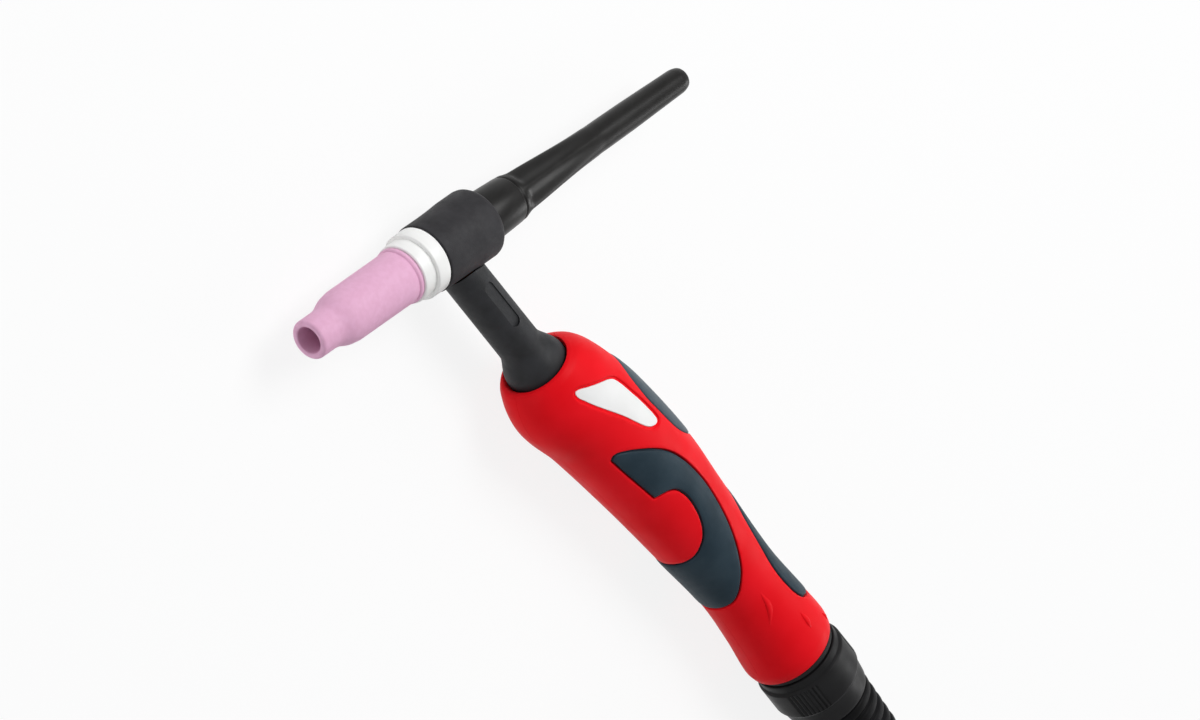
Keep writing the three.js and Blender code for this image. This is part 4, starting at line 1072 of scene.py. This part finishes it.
def moulded_mark(line, width, side):
    """A raised mark, steep on its lower side and fading out on the other."""
    spine = flowing(line, steps=5)
    swell = [0.1 + 0.9 * math.sin(math.pi * i / (len(spine) - 1)) for i in range(len(spine))]
    loops = []
    for height, steep, soft in MARK_SECTION:
        lifts = [height * s if height > 0 else height for s in swell]
        near, far = [
            [Vector((p.x, side * (p.y - width * s * share), lift))
             for p, s, lift in zip(spine, swell, lifts)]
            for share in (steep, soft)
        ]
        loops.append(near + far[::-1])
    return pad(loops, step=4)


SCREWS = [(17, -13.4), (80, 18.6), (HANDLE_LENGTH - 28, -1.5)]  # along the handle, and Y
SCREW_R = 1.2
SCREW_HEAD_R = 2.2
SCREW_HEAD = 2
SCREW_SUNK = 0.2  # below the handle's surface
SCREW_LENGTH = 14.8
SCREW_STOP = 4  # at least so far from the other side
SCREW_GAP = 0.15
SCREW_HOLE_R = 1.5
SCREW_SOCKET_R = 1.25
SCREW_SOCKET = 1.1  # its depth


def screw_seat(place, y):
    """How far the seat of a screw's head and its tip lie from the handle's middle plane, with
    the head wholly below the surface."""
    middle, half = middle_and_half(place)
    lowest = min(
        along(FLANK, place) * math.sqrt(1 - min(((at - middle) / half) ** 2, 1))
        for at in (y - SCREW_HEAD_R - SCREW_GAP, y + SCREW_HEAD_R + SCREW_GAP)
    )
    seat = lowest - SCREW_SUNK - SCREW_HEAD
    return seat, max(seat - SCREW_LENGTH, SCREW_STOP - lowest)


def neck_seat():
    """The space of the neck's flare and its tail, with a softened mouth."""
    mouth, flare_r, flare_back = NECK_LENGTH, FLARE_R + GAP, FLARE_BACK + GAP
    tail_r, end = NECK_TAIL_R + GAP, NECK_BACK + 4
    return turned_in_place(
        [(0, mouth - 1), (12.1, mouth - 1), (12, mouth), (11.5, mouth + 0.5)]
        + [(flare_r, mouth + 1.1), (flare_r, flare_back), (tail_r, flare_back), (tail_r, end)]
        + [(0, end)],
        ALONG_X, 112, closed=False,
    )


def swivel_seat():
    """The space of the swivel and its flange, with the way through for hose and wires."""
    seat_r, flange_r, seat = SWIVEL_R + GAP, SWIVEL_FLANGE_R + GAP, SWIVEL_FRONT - GAP
    front, back = SWIVEL_FLANGE[0] - GAP, SWIVEL_FLANGE[1] + GAP
    start = HANDLE_BACK - REAR_BLOCK - 2
    return turned_in_place(
        [(0, start), (SWIVEL_BORE_R, start), (SWIVEL_BORE_R, seat), (seat_r, seat)]
        + [(seat_r, front), (flange_r, front), (flange_r, back), (seat_r, back)]
        + [(seat_r, HANDLE_BACK + 1), (0, HANDLE_BACK + 1)],
        Matrix.Translation((0, REAR_OFFSET, 0)) @ ALONG_X, 96, closed=False,
    )


TRIGGER_GAP = 0.4
SLOT_FLOOR = 10.2  # above the neck's axis
SLOT_TOP = 34


def trigger_slot():
    """The trigger's outline in top view, grown by its clearance, from the slot's floor up."""
    outline = [
        Vector((p.x, along(FLANK, p.x) * math.sin(p.y / REACH)))
        for p in both_sides(TRIGGER_AT, TRIGGER_HALF)
    ]
    grown_out = [(NECK_LENGTH + p.x, p.y) for p in grown(outline, TRIGGER_GAP)]
    bm = block(grown_out, SLOT_FLOOR, SLOT_TOP)
    bmesh.ops.rotate(bm, matrix=Matrix.Rotation(math.radians(-90), 3, "X"), verts=bm.verts)
    return bm


def screw_holes():
    """For each screw a counterbore and a hole for its shank, from the right side."""
    holes = []
    for place, y in SCREWS:
        seat, tip = screw_seat(place, y)
        way = Matrix.Translation((NECK_LENGTH + place, y, 0)) @ FROM_BELOW
        head, shank = rod(SCREW_HEAD_R + SCREW_GAP, seat, 30), rod(SCREW_HOLE_R, tip - 1, seat + 1)
        holes.append(turned_in_place(head, way, 48, closed=False))
        holes.append(turned_in_place(shank, way, 32, closed=False))
    return holes


def handle_shape():
    """The whole handle with its bores, hollow, slot, pockets, screw holes and raised marks."""
    marks = [moulded_mark(line, width, 1) for line, width in MARKS]
    marks += [moulded_mark(line, width, -1) for line, width in RIGHT_MARKS]
    form = combined(handle_form(edge=0.9), marks, "UNION")
    hollow = handle_form(-HANDLE_WALL, FRONT_BLOCK, HANDLE_LENGTH - REAR_BLOCK, 40, 48)
    palm_pocket = pocket(both_sides(PAD_AT, PAD_HALF), GRIP_LINE, GRIP_DEPTH)
    cuts = [neck_seat(), swivel_seat(), hollow, trigger_slot(), palm_pocket]
    for side in (1, -1):
        label = label_outline(side)
        cuts += [
            pocket(grip_outline(side), GRIP_LINE, GRIP_DEPTH),
            pocket(label, LABEL_LINE, LABEL_LINE_DEPTH), pocket(label, LABEL_GAP, LABEL_DEPTH),
        ]
    return combined(form, cuts + screw_holes())


def one_side(bm, side):
    """The half of a shape above or below the middle plane, closed again."""
    cut = bmesh.ops.bisect_plane(
        bm, geom=bm.verts[:] + bm.edges[:] + bm.faces[:], dist=1e-4,
        plane_co=(0, 0, side * SHELL_GAP / 2), plane_no=(0, 0, -side), clear_outer=True,
    )
    edges = [e for e in cut["geom_cut"] if isinstance(e, bmesh.types.BMEdge)]
    bmesh.ops.triangle_fill(bm, edges=edges, use_beauty=True)
    return bm


whole_handle = handle_shape()
for side, name in ((1, "left"), (-1, "right")):
    finished(
        f"handle_half_{name}", one_side(whole_handle.copy(), side), TORCH, red_plastic,
        "torch_body", [f"handle_shell_{name}"], sharp=50,
    )
    finished(
        f"hook_grip_{name}", one_side(pad(layers(grip_outline(side), GRIP_SECTION)), side), TORCH,
        grip_rubber, "torch_body", [f"side_grip_{name}"],
    )
    finished(
        f"label_{name}", pad(layers(label_outline(side), LABEL_SECTION)), TORCH, label_film,
        "torch_body", [f"label_plate_{name}"],
    )
whole_handle.free()
finished(
    "palm_grip", pad(layers(both_sides(PAD_AT, PAD_HALF), GRIP_SECTION)), TORCH, grip_rubber,
    "torch_body", ["palm_pad"],
)


# ---- Trigger and screws ---------------------------------------------------------------------

HINGE_X, HINGE_Y = 128, 20.3
HINGE_HOLE_R = 1.3
HUB_R = 4
HUB_HALF = 6.4
HUB_ROUND = 1.4
PLUNGER_X = 101
PEG_R = 1.8  # the trigger's peg, which presses the switch's plunger
PEG_TIP = 18.9  # above the neck's axis
PEG_TOP = 24.6


def trigger_shape():
    """A plate like the handle's back, with a hub on its hinge pin and a peg."""
    plate = pad(layers(both_sides(TRIGGER_AT, TRIGGER_HALF), TRIGGER_SECTION))
    hinge = Matrix.Translation((HINGE_X, HINGE_Y, 0)) @ ALONG_Z
    hub = turned_in_place(
        [(0, -HUB_HALF), (HUB_R, -HUB_HALF, HUB_ROUND), (HUB_R, HUB_HALF, HUB_ROUND)]
        + [(0, HUB_HALF)],
        hinge, 48, closed=False,
    )
    peg = turned_in_place(
        [(0, PEG_TIP), (PEG_R - 0.2, PEG_TIP, 0.3), (PEG_R, 20), (PEG_R, PEG_TOP)]
        + [(0, PEG_TOP)],
        Matrix.Translation((PLUNGER_X, 0, 0)), 32, closed=False,
    )
    hole = turned_in_place(rod(HINGE_HOLE_R, -14, 14), hinge, 32, closed=False)
    return combined(combined(plate, [hub, peg], "UNION"), [hole])


def screw_shape(seat, tip):
    """A cap screw with a six-sided socket."""
    top = seat + SCREW_HEAD
    bm = turned(
        [(0, tip), (SCREW_R, tip, 0.3), (SCREW_R, seat), (SCREW_HEAD_R, seat)]
        + [(SCREW_HEAD_R, top, 0.5), (0, top)],
        steps=48, closed=False,
    )
    socket = rod(SCREW_SOCKET_R, top - SCREW_SOCKET, top + 1)
    return combined(bm, [turned(socket, steps=6, closed=False)])


finished(
    "finger_trigger", trigger_shape(), TORCH, trigger_plastic, "trigger_body",
    ["trigger"],
)

for i, (place, y) in enumerate(SCREWS):
    finished(
        f"shell_bolt_{i + 1}", screw_shape(*screw_seat(place, y)),
        TORCH @ Matrix.Translation((NECK_LENGTH + place, y, 0)) @ FROM_BELOW, steel, "torch_body",
        [f"shell_screw_{i + 1}"],
    )


# ---- Collar and boot ------------------------------------------------------------------------

SEAL_FRONT = HANDLE_BACK + GAP
SEAL_BACK = SEAL_FRONT + 1.9
SEAL_R = 14.6
COLLAR_FRONT = SEAL_BACK + GAP
COLLAR_BACK = COLLAR_FRONT + 23.5
COLLAR_R = 15.1
COLLAR_RIB_R = 15.95
COLLAR_FLOOR = SWIVEL_BACK + GAP
CORE_HOLE_R = 5.3  # for the cable's core
RIB_PATCHES = (145, 25, -95)  # degrees from the back, round towards the left side
RIB_PATCH = 42  # degrees across
RIB_COUNT = 8
RIB_DEPTH = 0.45
BOOT_LENGTH = 74
BOOT_FRONT = COLLAR_BACK + GAP
BOOT_BACK = BOOT_FRONT + BOOT_LENGTH
BOOT_RINGS = 15
BOOT_R = 13.7
BOOT_TAPER = 3.7
BOOT_CABLE_HOLD = 6  # how far the boot's end goes over the cable


def collar_shape():
    """A ring with a smooth front band and patches of fine ribs along it."""
    seat = SWIVEL_R + GAP
    bm = turned(
        [(seat, COLLAR_FRONT), (COLLAR_R, COLLAR_FRONT, 0.4), (COLLAR_R, 227.6)]
        + [(COLLAR_RIB_R, 228.3, 0.3)] + [(COLLAR_RIB_R, y) for y in rows(228.9, 238.6, 11)]
        + [(15.9, 239.2, 0.4), (COLLAR_R, 240, 0.4), (14.75, 243.5), (14.3, 247, 0.4)]
        + [(13.9, COLLAR_BACK, 0.3), (CORE_HOLE_R, COLLAR_BACK), (CORE_HOLE_R, COLLAR_FLOOR)]
        + [(seat, COLLAR_FLOOR)],
        steps=360,
    )
    for vert in bm.verts:
        radius = math.hypot(vert.co.x, vert.co.z)
        if radius < 15.3 or not 228.5 < vert.co.y < 239.1:
            continue
        degrees = math.degrees(math.atan2(vert.co.z, -vert.co.x))
        for patch in RIB_PATCHES:
            off = (degrees - patch + 180) % 360 - 180
            if abs(off) < RIB_PATCH / 2:
                wave = 0.5 - 0.5 * math.cos(off / RIB_PATCH * 2 * math.pi * RIB_COUNT)
                cut = RIB_DEPTH * wave ** 1.5
                vert.co.x *= 1 - cut / radius
                vert.co.z *= 1 - cut / radius
    return bm


def boot_shape():
    """A tapered rubber boot with rounded rings, round the cable's core and its end."""
    pitch = BOOT_LENGTH / BOOT_RINGS
    rings = []
    for i in range(BOOT_RINGS):
        radius = BOOT_R - BOOT_TAPER * i / (BOOT_RINGS - 1)
        start = BOOT_FRONT + i * pitch
        rings += [
            (radius - 1.15, start + 0.04 * pitch, 0.25), (radius - 0.1, start + 0.2 * pitch, 0.4),
            (radius, start + 0.5 * pitch), (radius - 0.15, start + 0.76 * pitch, 0.45),
            (radius - 1.25, start + 0.9 * pitch, 0.2),
        ]
    bore, floor = CABLE_R + GAP, BOOT_BACK - BOOT_CABLE_HOLD
    return turned(
        [(CORE_HOLE_R, BOOT_FRONT)] + rings
        + [(9.1, BOOT_BACK, 0.4), (bore, BOOT_BACK, 0.2), (bore, floor), (CORE_HOLE_R, floor)],
    )


def swivel_seal_shape():
    seat = SWIVEL_R + GAP
    return turned(
        [(seat, SEAL_FRONT), (SEAL_R, SEAL_FRONT, 0.5), (SEAL_R, SEAL_BACK, 0.5)]
        + [(seat, SEAL_BACK)],
    )


finished(
    "ribbed_collar", collar_shape(), REAR, collar_plastic, "cable",
    ["boot_collar"], sharp=40,
)
finished("ringed_boot", boot_shape(), REAR, boot_rubber, "cable", ["strain_boot"])
finished(
    "swivel_ring", swivel_seal_shape(), REAR, seal_rubber, "cable",
    ["swivel_seal"],
)


# ---- Frame nodes that stay ------------------------------------------------------------------

KEPT = {
    "collet": copper, "neck_tube": copper, "cable_connector": brass, "trigger_pin": steel,
    "switch_holder": inner_plastic, "microswitch": inner_plastic, "switch_plunger": label_film,
    "power_hose": cable_rubber, "switch_wires": cable_rubber, "swivel_sleeve": collar_plastic,
    "cable_core": cable_rubber,
}
for node, look in KEPT.items():
    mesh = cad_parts[node].data
    mesh.materials.clear()
    mesh.materials.append(look.material)


# ---- Floor and light ------------------------------------------------------------------------

# Metres, watts and shares of white
FLOOR_SIZE = 40
FLOOR_DROP = 0.0003  # below the piece
FLOOR_COLOUR = (0.94, 0.94, 0.94, 1)
FLOOR_GLOW = 0.86  # how much of the floor that the camera sees is plain white
SKY_COLOUR = (0.95, 0.97, 1.0, 1)
SKY_STRENGTH = 0.28


def shown_light(nodes, links):
    """1 for a ray from the camera or one by way of gloss or glass, and 0 for any other."""
    path = nodes.new("ShaderNodeLightPath")
    first = nodes.new("ShaderNodeMath")
    first.operation = "MAXIMUM"
    links.new(path.outputs["Is Camera Ray"], first.inputs[0])
    links.new(path.outputs["Is Glossy Ray"], first.inputs[1])
    second = nodes.new("ShaderNodeMath")
    second.operation = "MAXIMUM"
    links.new(first.outputs[0], second.inputs[0])
    links.new(path.outputs["Is Transmission Ray"], second.inputs[1])
    return second.outputs[0]


def make_floor():
    """A pale floor that keeps a part of the torch's shadow."""
    bm = bmesh.new()
    bmesh.ops.create_grid(bm, x_segments=1, y_segments=1, size=FLOOR_SIZE / 2)
    bmesh.ops.translate(bm, vec=(0, 0, -FLOOR_DROP), verts=bm.verts)
    mesh = bpy.data.meshes.new("floor")
    bm.to_mesh(mesh)
    bm.free()
    material = bpy.data.materials.new("pale_floor")
    material.use_nodes = True
    nodes, links = material.node_tree.nodes, material.node_tree.links
    shader = nodes["Principled BSDF"]
    shader.inputs["Base Color"].default_value = FLOOR_COLOUR
    shader.inputs["Roughness"].default_value = 0.9
    glow = nodes.new("ShaderNodeEmission")
    mix = nodes.new("ShaderNodeMixShader")
    share = nodes.new("ShaderNodeMath")
    share.operation = "MULTIPLY"
    share.inputs[1].default_value = FLOOR_GLOW
    links.new(shown_light(nodes, links), share.inputs[0])
    links.new(share.outputs[0], mix.inputs["Fac"])
    links.new(shader.outputs[0], mix.inputs[1])
    links.new(glow.outputs[0], mix.inputs[2])
    links.new(mix.outputs[0], nodes["Material Output"].inputs["Surface"])
    mesh.materials.append(material)
    floor = bpy.data.objects.new("floor", mesh)
    SCENE.collection.objects.link(floor)


def soft_light(name, towards, distance, size, power):
    """A square studio lamp that faces the frame's origin."""
    data = bpy.data.lights.new(name, "AREA")
    data.size = size
    data.energy = power
    lamp = bpy.data.objects.new(name, data)
    direction = Vector(towards).normalized()
    lamp.location = direction * distance
    lamp.rotation_mode = "QUATERNION"
    lamp.rotation_quaternion = direction.to_track_quat("Z", "Y")
    SCENE.collection.objects.link(lamp)


def make_world():
    """A pale sky that lights the torch, and shows as plain white."""
    world = bpy.data.worlds.new("studio")
    SCENE.world = world
    world.use_nodes = True
    nodes, links = world.node_tree.nodes, world.node_tree.links
    lit = nodes["Background"]
    lit.inputs["Color"].default_value = SKY_COLOUR
    lit.inputs["Strength"].default_value = SKY_STRENGTH
    white = nodes.new("ShaderNodeBackground")
    mix = nodes.new("ShaderNodeMixShader")
    links.new(shown_light(nodes, links), mix.inputs["Fac"])
    links.new(lit.outputs[0], mix.inputs[1])
    links.new(white.outputs[0], mix.inputs[2])
    links.new(mix.outputs[0], nodes["World Output"].inputs["Surface"])


make_floor()
make_world()
soft_light("key", towards=(-0.3, 0.5, 0.85), distance=1.5, size=0.8, power=16)
soft_light("fill", towards=(-0.5, -0.9, 0.14), distance=1.8, size=1.0, power=5)
soft_light("rim", towards=(0.8, 0.6, 0.4), distance=1.8, size=0.6, power=5)

SCENE.view_settings.view_transform = "Standard"
